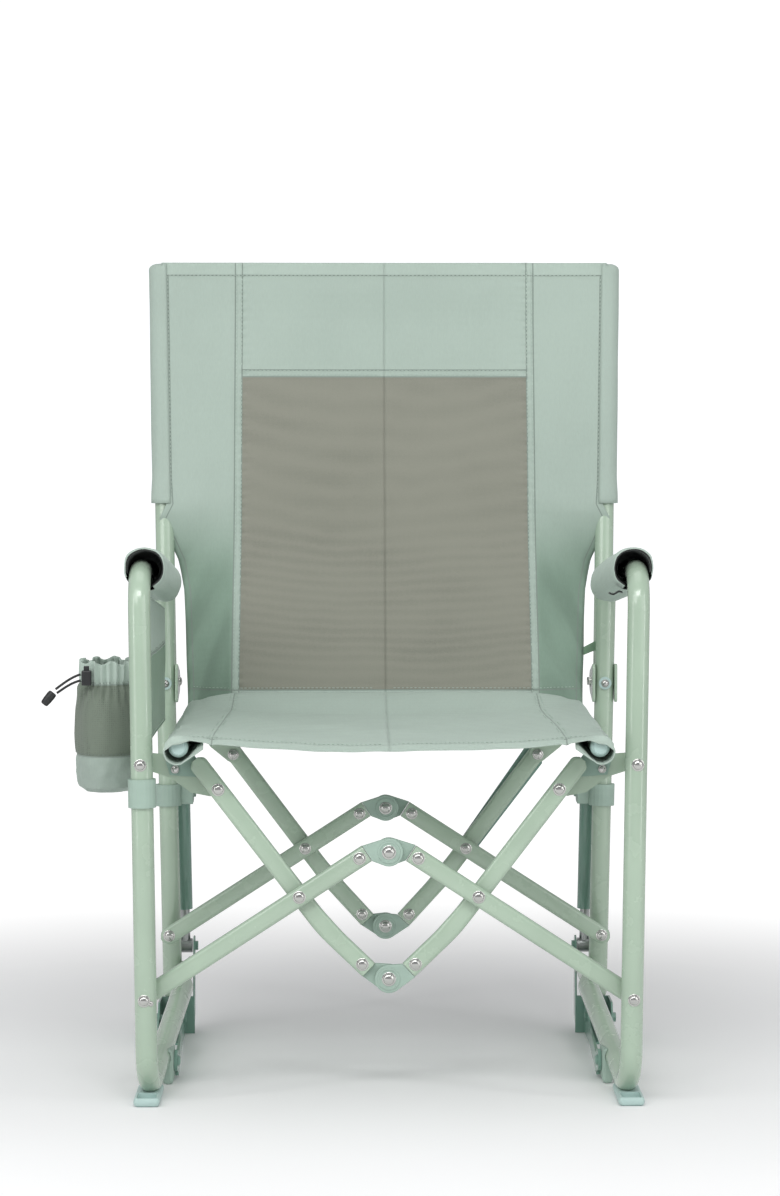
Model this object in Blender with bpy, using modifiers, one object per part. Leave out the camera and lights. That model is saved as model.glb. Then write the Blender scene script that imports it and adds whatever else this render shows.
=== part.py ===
"""Camp rocking chair: side-folding frame with front and rear scissor bars, sprung floor links
and a fold-down back. Metres, Z up, X to the image right, the chair faces -Y."""

import math

import bmesh
import bpy
from mathutils import Matrix, Vector

# ---- placing of the finished chair -------------------------------------------------------
SHIFT = Vector((0.0263, -0.2745, 0.0))

# ---- driving dimensions -------------------------------------------------------------------
TUBE_R = 0.0125
POST_R = 0.012
RAIL_R = 0.011
PAD_R = 0.0245
PAD_BORE = 0.0208
BAR_W = 0.0105
BAR_T = 0.006
BAR_EDGE = 0.0036
GAP = 0.0003

LEG_X0 = 0.2716
LEG_SPLAY = 0.0132
ARM_X = 0.2795
ARM_Z = 0.599
ARM_DROP = 0.09
ELBOW_R = 0.045
FOOT_R = 0.040
FOOT_Z = 0.0115
RUNNER_RISE = 0.176
RUNNER_TOE = 0.0617
RUNNER_END_Y = 0.4365
RUNNER_FLAT_Y = 0.352
RUNNER_FLAT = (0.36, 1.16)

POST_Y = 0.4255
POST_X0 = 0.2658
POST_SPLAY = 0.0196
POST_LOW = 0.051
POST_TOP = 0.585

BACK_Y = 0.4545
BACK_Z = 0.445
BACK_TOP = 0.972
BACK_LEAN = math.tan(math.radians(12.0))
BACK_SPLAY = 0.0262

LINK_Y = 0.135
LINK_Z = 0.024
STRUT_TOP = Vector((0.2560, 0.4550, 0.3040))
STRUT_LOW = Vector((0.2525, 0.4620, 0.1090))

RAIL_X = 0.2345
RAIL_Z = 0.4035
RAIL_RISE = 0.025
RAIL_Y0 = -0.015
RAIL_Y1 = 0.3810

# Scissor frames: outer pivot, crossing, upper hub and its rivet, lower hub and its rivet,
# kink and top end of the steep bar, as (x, z); then the layer of each bar.
FRONT = {
    "outer": (0.2741, 0.1187),
    "cross": (0.1010, 0.2312),
    "hub_up": (0.0, 0.2819),
    "riv_up": (0.0331, 0.2750),
    "hub_lo": (0.0, 0.1365),
    "riv_lo": (0.0300, 0.1532),
    "kink": (0.0727, 0.1942),
    "top": (0.2185, 0.3849),
    "mark": (0.1925, 0.3515),
    "y_low": 0.0205,
    "y_steep": 0.0335,
}
REAR = {
    "outer": (0.2691, 0.1322),
    "cross": (0.0999, 0.2410),
    "hub_up": (0.0, 0.2916),
    "riv_up": (0.0324, 0.2847),
    "hub_lo": (0.0, 0.1422),
    "riv_lo": (0.0293, 0.1572),
    "kink": (0.0715, 0.2033),
    "top": (0.1888, 0.3590),
    "mark": (0.1888, 0.3590),
    "y_low": 0.3910,
    "y_steep": 0.4040,
}
HUB_R = 0.016
HEAD_R = 0.0054
LEG_PIVOT = (0.2775, 0.3828)
CROSS_R = 0.0025

SEAT_HALF = 0.2465
SEAT_Y = (-0.0225, 0.3780)
SEAT_SAG = 0.010
POUCH_OVAL = 0.62

MINT = ((0.46, 0.60, 0.47), 0.35, 0.3)
PLASTIC = ((0.42, 0.56, 0.52), 0.5, 0.0)
TEAL = ((0.20, 0.32, 0.28), 0.4, 0.3)
STEEL = ((0.62, 0.62, 0.60), 0.25, 1.0)
CLOTH = ((0.45, 0.58, 0.50), 0.85, 0.0)
BLACK = ((0.02, 0.02, 0.02), 0.6, 0.0)


# ---- small helpers ------------------------------------------------------------------------
def clear_scene():
    for obj in list(bpy.data.objects):
        bpy.data.objects.remove(obj, do_unlink=True)
    for item in list(bpy.data.collections):
        bpy.data.collections.remove(item)
    home = bpy.data.collections.new("camp_rocking_chair")
    bpy.context.scene.collection.children.link(home)
    return home


HOME = clear_scene()


def material_for(name, look):
    colour, rough, metal = look
    mat = bpy.data.materials.new(name + "_mat")
    mat.use_nodes = True
    shader = mat.node_tree.nodes["Principled BSDF"]
    shader.inputs["Base Color"].default_value = (*colour, 1.0)
    shader.inputs["Roughness"].default_value = rough
    shader.inputs["Metallic"].default_value = metal
    return mat


def mesh_from(bm, name="piece"):
    bmesh.ops.remove_doubles(bm, verts=bm.verts, dist=1e-6)
    bmesh.ops.recalc_face_normals(bm, faces=bm.faces)
    mesh = bpy.data.meshes.new(name)
    bm.to_mesh(mesh)
    bm.free()
    return mesh


def baked(data, modifiers=()):
    """Mesh of a curve or mesh once its modifiers, (kind, settings) pairs, are applied."""
    helper = bpy.data.objects.new("work_shape", data)
    bpy.context.scene.collection.objects.link(helper)
    for kind, settings in modifiers:
        mod = helper.modifiers.new(kind.lower(), kind)
        for key, value in settings.items():
            setattr(mod, key, value)
    bpy.context.view_layer.update()
    graph = bpy.context.evaluated_depsgraph_get()
    mesh = bpy.data.meshes.new_from_object(helper.evaluated_get(graph))
    bpy.data.objects.remove(helper, do_unlink=True)
    bm = bmesh.new()
    bm.from_mesh(mesh)
    return mesh_from(bm)


def node(name, mesh, look, origin=(0, 0, 0), smooth=35.0):
    """One named sub-part with its own material; its origin is put on its joint axis."""
    origin = Vector(origin)
    mesh.transform(Matrix.Translation(-origin))
    mesh.name = name
    obj = bpy.data.objects.new(name, mesh)
    obj.location = origin + SHIFT
    mesh.materials.clear()
    mesh.materials.append(material_for(name, look))
    for face in mesh.polygons:
        face.material_index = 0
        face.use_smooth = True
    HOME.objects.link(obj)
    mark_sharp(mesh, smooth)
    return obj


def mark_sharp(mesh, degrees):
    bm = bmesh.new()
    bm.from_mesh(mesh)
    limit = math.radians(degrees)
    for edge in bm.edges:
        if len(edge.link_faces) == 2 and edge.calc_face_angle(0.0) > limit:
            edge.smooth = False
    bm.to_mesh(mesh)
    bm.free()


def combine(first, others, operation="UNION"):
    """Boolean of whole meshes with the exact solver, returned as a new mesh."""
    base = bpy.data.objects.new("work_base", first)
    bpy.context.scene.collection.objects.link(base)
    used = [base]
    for index, other in enumerate(others):
        tool = bpy.data.objects.new(f"work_tool{index}", other)
        bpy.context.scene.collection.objects.link(tool)
        used.append(tool)
        mod = base.modifiers.new(f"op{index}", "BOOLEAN")
        mod.operation = operation
        mod.solver = "EXACT"
        mod.object = tool
    bpy.context.view_layer.update()
    graph = bpy.context.evaluated_depsgraph_get()
    mesh = bpy.data.meshes.new_from_object(base.evaluated_get(graph))
    for obj in used:
        bpy.data.objects.remove(obj, do_unlink=True)
    bm = bmesh.new()
    bm.from_mesh(mesh)
    bmesh.ops.remove_doubles(bm, verts=bm.verts, dist=1e-6)
    bmesh.ops.dissolve_degenerate(bm, edges=bm.edges, dist=1e-6)
    bm.to_mesh(mesh)
    bm.free()
    return mesh


def fillet(points, radius, steps=6):
    """Rounds the inner corners of a path; radius is one number per inner corner."""
    path = [Vector(points[0])]
    for i in range(1, len(points) - 1):
        here = Vector(points[i])
        back = (Vector(points[i - 1]) - here).normalized()
        ahead = (Vector(points[i + 1]) - here).normalized()
        half = 0.5 * back.angle(ahead)
        reach = radius[i - 1] / math.tan(half)
        centre = here + (back + ahead).normalized() * (radius[i - 1] / math.sin(half))
        start = here + back * reach
        end = here + ahead * reach
        first = start - centre
        last = end - centre
        whole = first.angle(last)
        turn = first.cross(last).normalized()
        for k in range(steps + 1):
            spin = Matrix.Rotation(whole * k / steps, 3, turn)
            path.append(centre + spin @ first)
    path.append(Vector(points[-1]))
    return path


def wire(path, radius, seg=16, scales=None):
    """Round tube or rail along a path: a poly curve with a bevel and filled caps."""
    curve = bpy.data.curves.new("line", "CURVE")
    curve.dimensions = "3D"
    curve.twist_mode = "MINIMUM"
    curve.bevel_depth = radius
    curve.bevel_resolution = (seg - 4) // 2
    curve.use_fill_caps = True
    line = curve.splines.new("POLY")
    line.points.add(len(path) - 1)
    for i, (slot, spot) in enumerate(zip(line.points, path)):
        slot.co = (*spot, 1.0)
        slot.radius = 1.0 if scales is None else scales[i]
    return baked(curve)


def rod(start, end, radius, seg=16, end_radius=None):
    """Straight round bar."""
    start = Vector(start)
    end = Vector(end)
    bm = bmesh.new()
    bmesh.ops.create_cone(
        bm,
        cap_ends=True,
        segments=seg,
        radius1=radius,
        radius2=radius if end_radius is None else end_radius,
        depth=(end - start).length,
    )
    turn = Vector((0, 0, 1)).rotation_difference(end - start).to_matrix().to_4x4()
    bm.transform(Matrix.Translation((start + end) / 2) @ turn)
    return mesh_from(bm)


def turned(profile, seg):
    """Solid turned about Z from a profile of (radius, height) points, with Screw."""
    bm = bmesh.new()
    spots = [bm.verts.new((r, 0.0, h)) for r, h in profile]
    for one, two in zip(spots, spots[1:]):
        bm.edges.new((one, two))
    mesh = bpy.data.meshes.new("profile")
    bm.to_mesh(mesh)
    bm.free()
    settings = {
        "angle": math.tau,
        "steps": seg,
        "render_steps": seg,
        "use_merge_vertices": True,
        "merge_threshold": 1e-6,
    }
    return baked(mesh, [("SCREW", settings)])


def dome(base, direction, radius=HEAD_R, height=0.003, seg=12, sink=0.0015):
    """Low domed rivet or bolt head that stands on base and sinks a little into it."""
    profile = (
        (0.0, -sink),
        (radius, -sink),
        (radius, 0.25 * height),
        (0.72 * radius, 0.80 * height),
        (0.0, height),
    )
    mesh = turned(profile, seg)
    turn = Vector((0, 0, 1)).rotation_difference(Vector(direction)).to_matrix().to_4x4()
    mesh.transform(Matrix.Translation(Vector(base)) @ turn)
    return mesh


def block(low, high, bevel=0.0, segments=2):
    """Box between two corners, with its edges rounded."""
    low = Vector(low)
    high = Vector(high)
    bm = bmesh.new()
    bmesh.ops.create_cube(bm, size=1.0)
    size = high - low
    fit = Matrix.Diagonal((*size, 1.0))
    bm.transform(Matrix.Translation((low + high) / 2) @ fit)
    if bevel > 0:
        bmesh.ops.bevel(
            bm,
            geom=bm.edges[:],
            offset=bevel,
            segments=segments,
            affect="EDGES",
            profile=0.5,
        )
    return mesh_from(bm)


def slab(outline, y0, y1, plane="XZ", edge=0.0):
    """Flat plate: filled 2D curve with thickness from y0 to y1 along the third axis."""
    curve = bpy.data.curves.new("plate", "CURVE")
    curve.dimensions = "2D"
    curve.fill_mode = "BOTH"
    curve.extrude = abs(y1 - y0) / 2
    line = curve.splines.new("POLY")
    line.points.add(len(outline) - 1)
    for slot, (a, b) in zip(line.points, outline):
        slot.co = (a, b, 0.0, 1.0)
    line.use_cyclic_u = True
    mesh = baked(curve)
    bm = bmesh.new()
    bm.from_mesh(mesh)
    bmesh.ops.dissolve_limit(bm, angle_limit=0.02, verts=bm.verts, edges=bm.edges)
    if edge > 0:
        rims = [e for e in bm.edges if e.calc_face_angle(0.0) > 1.2]
        bmesh.ops.bevel(bm, geom=rims, offset=edge, segments=2, affect="EDGES", profile=0.5)
    middle = (y0 + y1) / 2
    turns = {
        "XZ": ((1, 0, 0, 0), (0, 0, -1, middle), (0, 1, 0, 0), (0, 0, 0, 1)),
        "YZ": ((0, 0, 1, middle), (1, 0, 0, 0), (0, 1, 0, 0), (0, 0, 0, 1)),
        "XY": ((1, 0, 0, 0), (0, 1, 0, 0), (0, 0, 1, middle), (0, 0, 0, 1)),
    }
    bm.transform(Matrix(turns[plane]))
    return mesh_from(bm)


def hull_outline(points):
    """Convex outline around 2D points, anticlockwise."""
    points = sorted(set((round(a, 6), round(b, 6)) for a, b in points))

    def half(items):
        chain = []
        for p in items:
            while len(chain) > 1 and turn_of(chain[-2], chain[-1], p) <= 0:
                chain.pop()
            chain.append(p)
        return chain[:-1]

    return half(points) + half(points[::-1])


def turn_of(a, b, c):
    return (b[0] - a[0]) * (c[1] - a[1]) - (b[1] - a[1]) * (c[0] - a[0])


def circle(centre, radius, seg=20):
    spots = []
    for k in range(seg):
        a = math.tau * k / seg
        spots.append((centre[0] + radius * math.cos(a), centre[1] + radius * math.sin(a)))
    return spots


def flipped(outline, s):
    return [(s * a, b) for a, b in outline]


def leg_x(z):
    return LEG_X0 + LEG_SPLAY * z


def post_x(z):
    return POST_X0 + POST_SPLAY * z


def back_x(z):
    return post_x(BACK_Z) + BACK_SPLAY * (z - BACK_Z)


def back_y(z):
    return BACK_Y + BACK_LEAN * (z - BACK_Z)


def arm_z(y):
    return ARM_Z - ARM_DROP * (y - 0.04)


def runner_z(y):
    return FOOT_Z + RUNNER_RISE * y


def runner_x(y):
    return LEG_X0 + 0.0002 - RUNNER_TOE * y


# ---- side frames --------------------------------------------------------------------------
def frame_path():
    """Centre line of the right arm, front leg and runner."""
    rear_y = POST_Y - POST_R - 0.0020
    corners = [
        (post_x(arm_z(rear_y)), rear_y, arm_z(rear_y)),
        (ARM_X, 0.0, arm_z(0.0)),
        (leg_x(0.0), 0.0, FOOT_Z),
        (runner_x(RUNNER_FLAT_Y), RUNNER_FLAT_Y, runner_z(RUNNER_FLAT_Y)),
    ]
    path = fillet(corners, [ELBOW_R, FOOT_R], steps=7)
    for y in (0.384, RUNNER_END_Y):
        path.append(Vector((runner_x(y), y, runner_z(y))))
    return path


def frame_tube(s, grow=0.0):
    """The bent tube of one side, its rear end pressed flat."""
    mesh = wire([mirrored(p, s) for p in frame_path()], TUBE_R + grow, 18)
    for vert in mesh.vertices:
        spot = vert.co
        if spot.y > 0.368 and spot.z < 0.2:
            middle_x = s * runner_x(spot.y)
            middle_z = runner_z(spot.y)
            spot.x = middle_x + (spot.x - middle_x) * RUNNER_FLAT[0]
            spot.z = middle_z + (spot.z - middle_z) * RUNNER_FLAT[1]
    return mesh


def side_tube(s, side):
    tube = frame_tube(s)
    heads = []
    for x, z in (FRONT["outer"], LEG_PIVOT):
        heads.append(dome((s * x, -TUBE_R + 0.0004, z), (0, -1, 0), height=0.0036, sink=0.003))
    end_y = POST_Y
    inner = runner_x(end_y) - 0.0045
    heads.append(dome((s * inner, end_y, runner_z(end_y)), (-s, 0, 0), radius=0.006))
    node(f"{side}_side_tube", combine(tube, heads), MINT)


def rear_post(s, side):
    low = Vector((s * post_x(POST_LOW), POST_Y, POST_LOW))
    high = Vector((s * post_x(POST_TOP), POST_Y, POST_TOP))
    way = (high - low).normalized()
    path = [low, low + way * 0.004, high - way * 0.003, high]
    body = wire(path, POST_R, 16, (0.71, 1.0, 1.0, 0.79))
    z = runner_z(POST_Y)
    tab = runner_x(POST_Y) + 0.0045 + 0.0011
    boss = rod((s * tab, POST_Y, z), (s * (post_x(z) - 0.004), POST_Y, z), 0.008)
    x, z = REAR["outer"]
    front = REAR["y_low"] + BAR_T + GAP
    spacer = rod((s * x, front, z), (s * x, POST_Y - 0.004, z), 0.007)
    x = post_x(BACK_Z)
    washer = rod((s * x, 0.4112, BACK_Z), (s * x, 0.4160, BACK_Z), 0.0078, 18)
    head = dome((s * x, 0.4114, BACK_Z), (0, -1, 0), radius=0.004, height=0.0025, sink=0.001)
    solid = combine(body, [boss, spacer, washer, head])
    bore = rod((s * x - 0.03, POST_Y, BACK_Z), (s * x + 0.03, POST_Y, BACK_Z), CROSS_R + GAP, 12)
    node(f"{side}_rear_post", combine(solid, [bore], "DIFFERENCE"), MINT)


def arm_pad(s, side):
    """Padded sleeve around the arm, open below at the front where the leg goes down."""
    y0 = 0.0160
    y1 = 0.327
    x = ARM_X - 0.0055

    def spot(y):
        return Vector((s * (x - 0.004 * y), y, arm_z(y) + 0.0005))

    outer = rod(spot(y0), spot(y1), PAD_R, 20)
    inner = rod(spot(y0 - 0.01), spot(y1 + 0.01), PAD_BORE, 20)
    slot = block(
        (s * leg_x(0.58) - 0.0145, -0.0160, 0.54), (s * leg_x(0.58) + 0.0145, 0.042, arm_z(0))
    )
    node(f"{side}_arm_pad", combine(outer, [inner, slot], "DIFFERENCE"), CLOTH)


def foot_shoe(s, side):
    """Moulded shallow cup under the bend at the front foot, with a pocket at its lip."""
    x = leg_x(0.0)
    body = block((s * x - 0.0146, -0.0175, 0.0), (s * x + 0.0146, 0.072, 0.0105), 0.0044, 3)
    pocket = block((s * x - 0.0108, -0.0152, 0.0035), (s * x + 0.0108, 0.0120, 0.0180), 0.0015)
    cut = frame_tube(s, 0.0004)
    node(f"{side}_foot_shoe", combine(body, [cut, pocket], "DIFFERENCE"), PLASTIC)


def runner_pad(s, side):
    """Moulded block under the runner that the chair rocks on."""
    low = (0.2489, 0.112, 0.0)
    high = (0.2610, 0.158, 0.0410)
    corner_a = (min(s * low[0], s * high[0]), low[1], low[2])
    corner_b = (max(s * low[0], s * high[0]), high[1], high[2])
    body = block(corner_a, corner_b, 0.004)
    cut = frame_tube(s, 0.0004)
    node(f"{side}_runner_pad", combine(body, [cut], "DIFFERENCE"), PLASTIC)


def floor_link(s, side):
    """Rocking link on the floor: flat bar, rear foot channel and two ears for the strut."""
    bar_outline = hull_outline(
        circle((LINK_Y, LINK_Z), 0.0125, 16) + [(0.170, 0.0035), (0.150, 0.034)]
    )
    eye = slab(bar_outline, s * 0.2446, s * 0.2486, "YZ")
    ends = ((0.2446, 0.150), (0.2486, 0.150), (0.2544, 0.398), (0.2524, 0.398))
    bar = slab(flipped(ends, s), 0.0035, 0.0260, "XY")
    wall = [(0.360, 0.0), (0.446, 0.0), (0.446, 0.047), (0.397, 0.047), (0.385, 0.030)]
    wall.append((0.360, 0.022))
    inner = slab(wall, s * 0.2524, s * 0.2544, "YZ")
    outer = slab(wall, s * 0.2815, s * 0.2838, "YZ")
    sole = block(
        (min(s * 0.2524, s * 0.2838), 0.362, 0.0), (max(s * 0.2524, s * 0.2838), 0.446, 0.0032)
    )
    web = block(
        (min(s * 0.2405, s * 0.2838), 0.4430, 0.0), (max(s * 0.2405, s * 0.2838), 0.446, 0.047)
    )
    ear = hull_outline(
        circle((STRUT_LOW.y, STRUT_LOW.z), 0.0125, 16)
        + [(0.4440, 0.010), (0.4440, 0.047), (0.4680, 0.020)]
    )
    parts = [bar, inner, outer, sole, web]
    parts.append(slab(ear, s * 0.2405, s * 0.2426, "YZ"))
    parts.append(slab(ear, s * 0.2624, s * 0.2645, "YZ"))
    bolt = Vector((0, 0.4000, 0.0275))
    parts.append(rod((s * 0.2500, bolt.y, bolt.z), (s * 0.2862, bolt.y, bolt.z), 0.0040, 12))
    parts.append(rod((s * 0.2490, bolt.y, bolt.z), (s * 0.2528, bolt.y, bolt.z), 0.0062, 6))
    parts.append(rod((s * 0.2834, bolt.y, bolt.z), (s * 0.2880, bolt.y, bolt.z), 0.0062, 6))
    low = STRUT_LOW
    parts.append(rod((s * 0.2368, low.y, low.z), (s * 0.2410, low.y, low.z), 0.0062, 6))
    parts.append(rod((s * 0.2640, low.y, low.z), (s * 0.2682, low.y, low.z), 0.0062, 6))
    parts.append(dome((s * 0.2446, LINK_Y, LINK_Z), (-s, 0, 0), radius=0.0062, height=0.0035))
    origin = (s * 0.2466, LINK_Y, LINK_Z)
    node(f"{side}_floor_link", combine(eye, parts), TEAL, origin)


def strut_way():
    return (STRUT_LOW - STRUT_TOP).normalized()


def mirrored(point, s):
    return Vector((s * point.x, point.y, point.z))


def strut_collar(s, side):
    """Moulded collar clamped on the rear post, with two ears for the strut's top."""
    ring = rod((s * post_x(0.291), POST_Y, 0.291), (s * post_x(0.318), POST_Y, 0.318), 0.0160, 20)
    top = STRUT_TOP
    parts = []
    for x0, x1 in ((0.2416, 0.2447), (0.2672, 0.2705)):
        ear = hull_outline(
            circle((top.y, top.z), 0.0115, 14) + [(0.4330, 0.2920), (0.4330, 0.3165)]
        )
        parts.append(slab(ear, s * x0, s * x1, "YZ"))
    bridge = block(
        (min(s * 0.2416, s * 0.2705), 0.4255, 0.2925), (max(s * 0.2416, s * 0.2705), 0.4378, 0.3160)
    )
    parts.append(bridge)
    parts.append(rod((s * 0.2388, top.y, top.z), (s * 0.2420, top.y, top.z), 0.0058, 6))
    parts.append(dome((s * 0.2705, top.y, top.z), (s, 0, 0), radius=0.0058))
    solid = combine(ring, parts)
    bore = rod((s * post_x(0.28), POST_Y, 0.28), (s * post_x(0.33), POST_Y, 0.33), 0.01235, 20)
    node(f"{side}_strut_collar", combine(solid, [bore], "DIFFERENCE"), PLASTIC)


def strut_tube(s, side):
    way = strut_way()
    top = mirrored(STRUT_TOP, s)
    way = Vector((s * way.x, way.y, way.z))
    neck = rod(top - way * 0.0075, top + way * 0.016, 0.0085, 16)
    body = rod(top + way * 0.0125, top + way * 0.1480, 0.0097, 18)
    bore = rod(top + way * 0.060, top + way * 0.160, 0.0066, 18)
    solid = combine(neck, [body])
    node(f"{side}_strut_tube", combine(solid, [bore], "DIFFERENCE"), TEAL, top)


def strut_rod(s, side):
    way = strut_way()
    low = mirrored(STRUT_LOW, s)
    way = Vector((s * way.x, way.y, way.z))
    shaft = rod(low - way * 0.0990, low - way * 0.004, 0.0060, 16)
    eye = rod((s * 0.2440, low.y, low.z), (s * 0.2612, low.y, low.z), 0.0090, 18)
    node(f"{side}_strut_rod", combine(shaft, [eye]), STEEL, low)


def back_bracket(s, side):
    """Two steel cheeks bolted through the rear post; they hold the back's fold pivot."""
    x = post_x(BACK_Z)
    cheek = hull_outline(
        circle((BACK_Y, BACK_Z), 0.0150, 18)
        + [(0.4125, BACK_Z - 0.016), (0.4125, BACK_Z + 0.016)]
        + [(0.4180, BACK_Z - 0.024), (0.4180, BACK_Z + 0.024)]
    )
    parts = []
    for a, b in ((-0.0154, -0.0129), (0.0129, 0.0154)):
        parts.append(slab(cheek, s * x + a, s * x + b, "YZ"))
    left = rod((s * x - 0.0196, BACK_Y, BACK_Z), (s * x - 0.0150, BACK_Y, BACK_Z), 0.0058, 6)
    right = dome((s * x + 0.0154, BACK_Y, BACK_Z), (1, 0, 0), radius=0.0058, height=0.0032)
    bolt = rod((s * x - 0.0175, POST_Y, BACK_Z), (s * x + 0.0175, POST_Y, BACK_Z), CROSS_R, 12)
    node(f"{side}_back_bracket", combine(bolt, parts + [left, right]), MINT)


def back_post(s, side):
    low = Vector((s * back_x(BACK_Z - 0.010), back_y(BACK_Z - 0.010), BACK_Z - 0.010))
    high = Vector((s * back_x(BACK_TOP), back_y(BACK_TOP), BACK_TOP))
    origin = (s * back_x(BACK_Z), BACK_Y, BACK_Z)
    node(f"{side}_back_post", rod(low, high, 0.0119, 16), MINT, origin)


def leg_link(s, side):
    """Pressed link between the leg and the steep bar, behind that bar."""
    y0 = 0.0430
    y1 = 0.0456
    outline = [
        (0.2850, 0.3900),
        (0.2780, 0.3925),
        (0.2540, 0.3905),
        (0.2279, 0.3771),
        (0.1990, 0.3560),
        (0.1935, 0.3440),
        (0.2025, 0.3425),
        (0.2240, 0.3468),
        (0.2475, 0.3640),
        (0.2740, 0.3725),
        (0.2835, 0.3745),
        (0.2872, 0.3828),
    ]
    plate = slab(flipped(outline, s), y0, y1)
    x, z = LEG_PIVOT
    boss = rod((s * x, TUBE_R + 0.0004, z), (s * x, y0 + 0.001, z), 0.0085, 16)
    node(f"{side}_leg_link", combine(plate, [boss]), MINT, (s * x, 0.0, z))


def seat_rail(s, side):
    z0 = RAIL_Z
    z1 = RAIL_Z + RAIL_RISE * (RAIL_Y1 - RAIL_Y0)
    start = (s * RAIL_X, RAIL_Y0, z0)
    rail = rod(start, (s * RAIL_X, RAIL_Y1, z1), RAIL_R, 18)
    node(f"{side}_seat_rail", rail, MINT)
    cap = rod(
        (s * RAIL_X, RAIL_Y0 - 0.004, z0), (s * RAIL_X, RAIL_Y0 - 0.0007, z0), 0.0112, 18
    )
    tip = dome((s * RAIL_X, RAIL_Y0 - 0.004, z0), (0, -1, 0), 0.0112, 0.006, 18)
    node(f"{side}_rail_cap", combine(cap, [tip]), PLASTIC)


def seat_gusset(s, side):
    """Plate under the front of the rail, on the back of the steep bar."""
    outline = [
        (0.2537, 0.3883),
        (0.2475, 0.3670),
        (0.2167, 0.3647),
        (0.2085, 0.3745),
        (0.2200, 0.3893),
        (0.2290, 0.3915),
        (0.2450, 0.3915),
    ]
    y0 = FRONT["y_steep"] + BAR_T + GAP
    plate = slab(flipped(outline, s), y0, y0 + 0.0028)
    head = dome((s * 0.2414, y0, 0.3737), (0, -1, 0), radius=0.0042, height=0.0026)
    node(f"{side}_seat_gusset", combine(plate, [head]), PLASTIC)


def rear_bracket(s, side):
    """Plate at the rear end of the rail that reaches down to the rear steep bar."""
    x, z = REAR["top"]
    rail_z = RAIL_Z + RAIL_RISE * (RAIL_Y1 - RAIL_Y0)
    knee = circle((0.2120, 0.3740), 0.0075, 14)
    outline = hull_outline(circle((x, z), 0.0105, 14) + knee)
    upper = hull_outline(circle((RAIL_X, rail_z), 0.0125, 16) + knee)
    y0 = RAIL_Y1 + 2 * GAP
    plate = slab(flipped(outline, s), y0, y0 + 0.0025)
    top = slab(flipped(upper, s), y0, y0 + 0.0025)
    head = dome((s * x, y0, z), (0, -1, 0), radius=0.0056)
    node(f"{side}_rear_bracket", combine(plate, [top, head]), MINT)


# ---- scissor bars -------------------------------------------------------------------------
def flat_bar(points, y, widths):
    """Bar along (x, z) points in the layer centred on y, with rounded long edges."""
    left = []
    right = []
    for i, (x, z) in enumerate(points):
        before = points[max(i - 1, 0)]
        after = points[min(i + 1, len(points) - 1)]
        way = way_of(before, after)
        if 0 < i < len(points) - 1:
            way = (way_of(before, (x, z)) + way_of((x, z), after)).normalized()
        reach = BAR_W * widths[i]
        left.append((x - way.y * reach, z + way.x * reach))
        right.append((x + way.y * reach, z - way.x * reach))
    return slab(left + right[::-1], y - BAR_T, y + BAR_T, "XZ", edge=BAR_EDGE)


def past(rivet, way, reach):
    return (rivet[0] + way.x * reach, rivet[1] + way.y * reach)


def way_of(a, b):
    return Vector((b[0] - a[0], b[1] - a[1])).normalized()


def low_bar(s, side, place, spec):
    """Lower bar: from the leg or post pivot up to the upper hub."""
    way = way_of(spec["outer"], spec["riv_up"])
    start = past(spec["outer"], way, -0.0075)
    tip = past(spec["outer"], way, -0.0110)
    near = past(spec["outer"], way, 0.035)
    end = past(spec["riv_up"], way, 0.0098)
    spots = [tip, start, near, end]
    bar = flat_bar(flipped(spots, s), spec["y_low"], (0.55, 1.0, 1.0, 1.0))
    front = spec["y_low"] - BAR_T
    heads = []
    for spot in (spec["cross"], spec["riv_up"]):
        heads.append(dome((s * spot[0], front, spot[1]), (0, -1, 0)))
    if place == "rear":
        x, z = spec["outer"]
        heads.append(dome((s * x, front, z), (0, -1, 0)))
    x, z = spec["outer"]
    node(f"{place}_lower_bar_{side}", combine(bar, heads), MINT, (s * x, spec["y_low"], z))


def steep_bar(s, side, place, spec):
    """Steep bar: from under the seat rail down through the crossing to the lower hub."""
    way = way_of(spec["kink"], spec["riv_lo"])
    down = way_of(spec["top"], spec["kink"])
    if place == "front":
        spots = [past(spec["top"], down, -0.0005), past(spec["top"], down, 0.006)]
        widths = [0.8, 1.0]
    else:
        spots = [past(spec["top"], down, -0.0095), past(spec["top"], down, -0.004)]
        widths = [0.6, 1.0]
    spots += [past(spec["kink"], down, -0.012), past(spec["kink"], way, 0.008)]
    spots.append(past(spec["riv_lo"], way, 0.0098))
    bar = flat_bar(flipped(spots, s), spec["y_steep"], widths + [1.0, 1.0, 1.0])
    front = spec["y_steep"] - BAR_T
    heads = [dome((s * spec["riv_lo"][0], front, spec["riv_lo"][1]), (0, -1, 0), height=0.0028)]
    if place == "front":
        heads.append(dome((s * spec["mark"][0], front, spec["mark"][1]), (0, -1, 0)))
    else:
        x, z = spec["top"]
        reach = RAIL_Y1 + 0.0025 + 3 * GAP
        heads.append(rod((s * x, reach, z), (s * x, front + 0.002, z), 0.006, 14))
    x, z = spec["cross"]
    node(f"{place}_upper_bar_{side}", combine(bar, heads), MINT, (s * x, spec["y_steep"], z))


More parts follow.
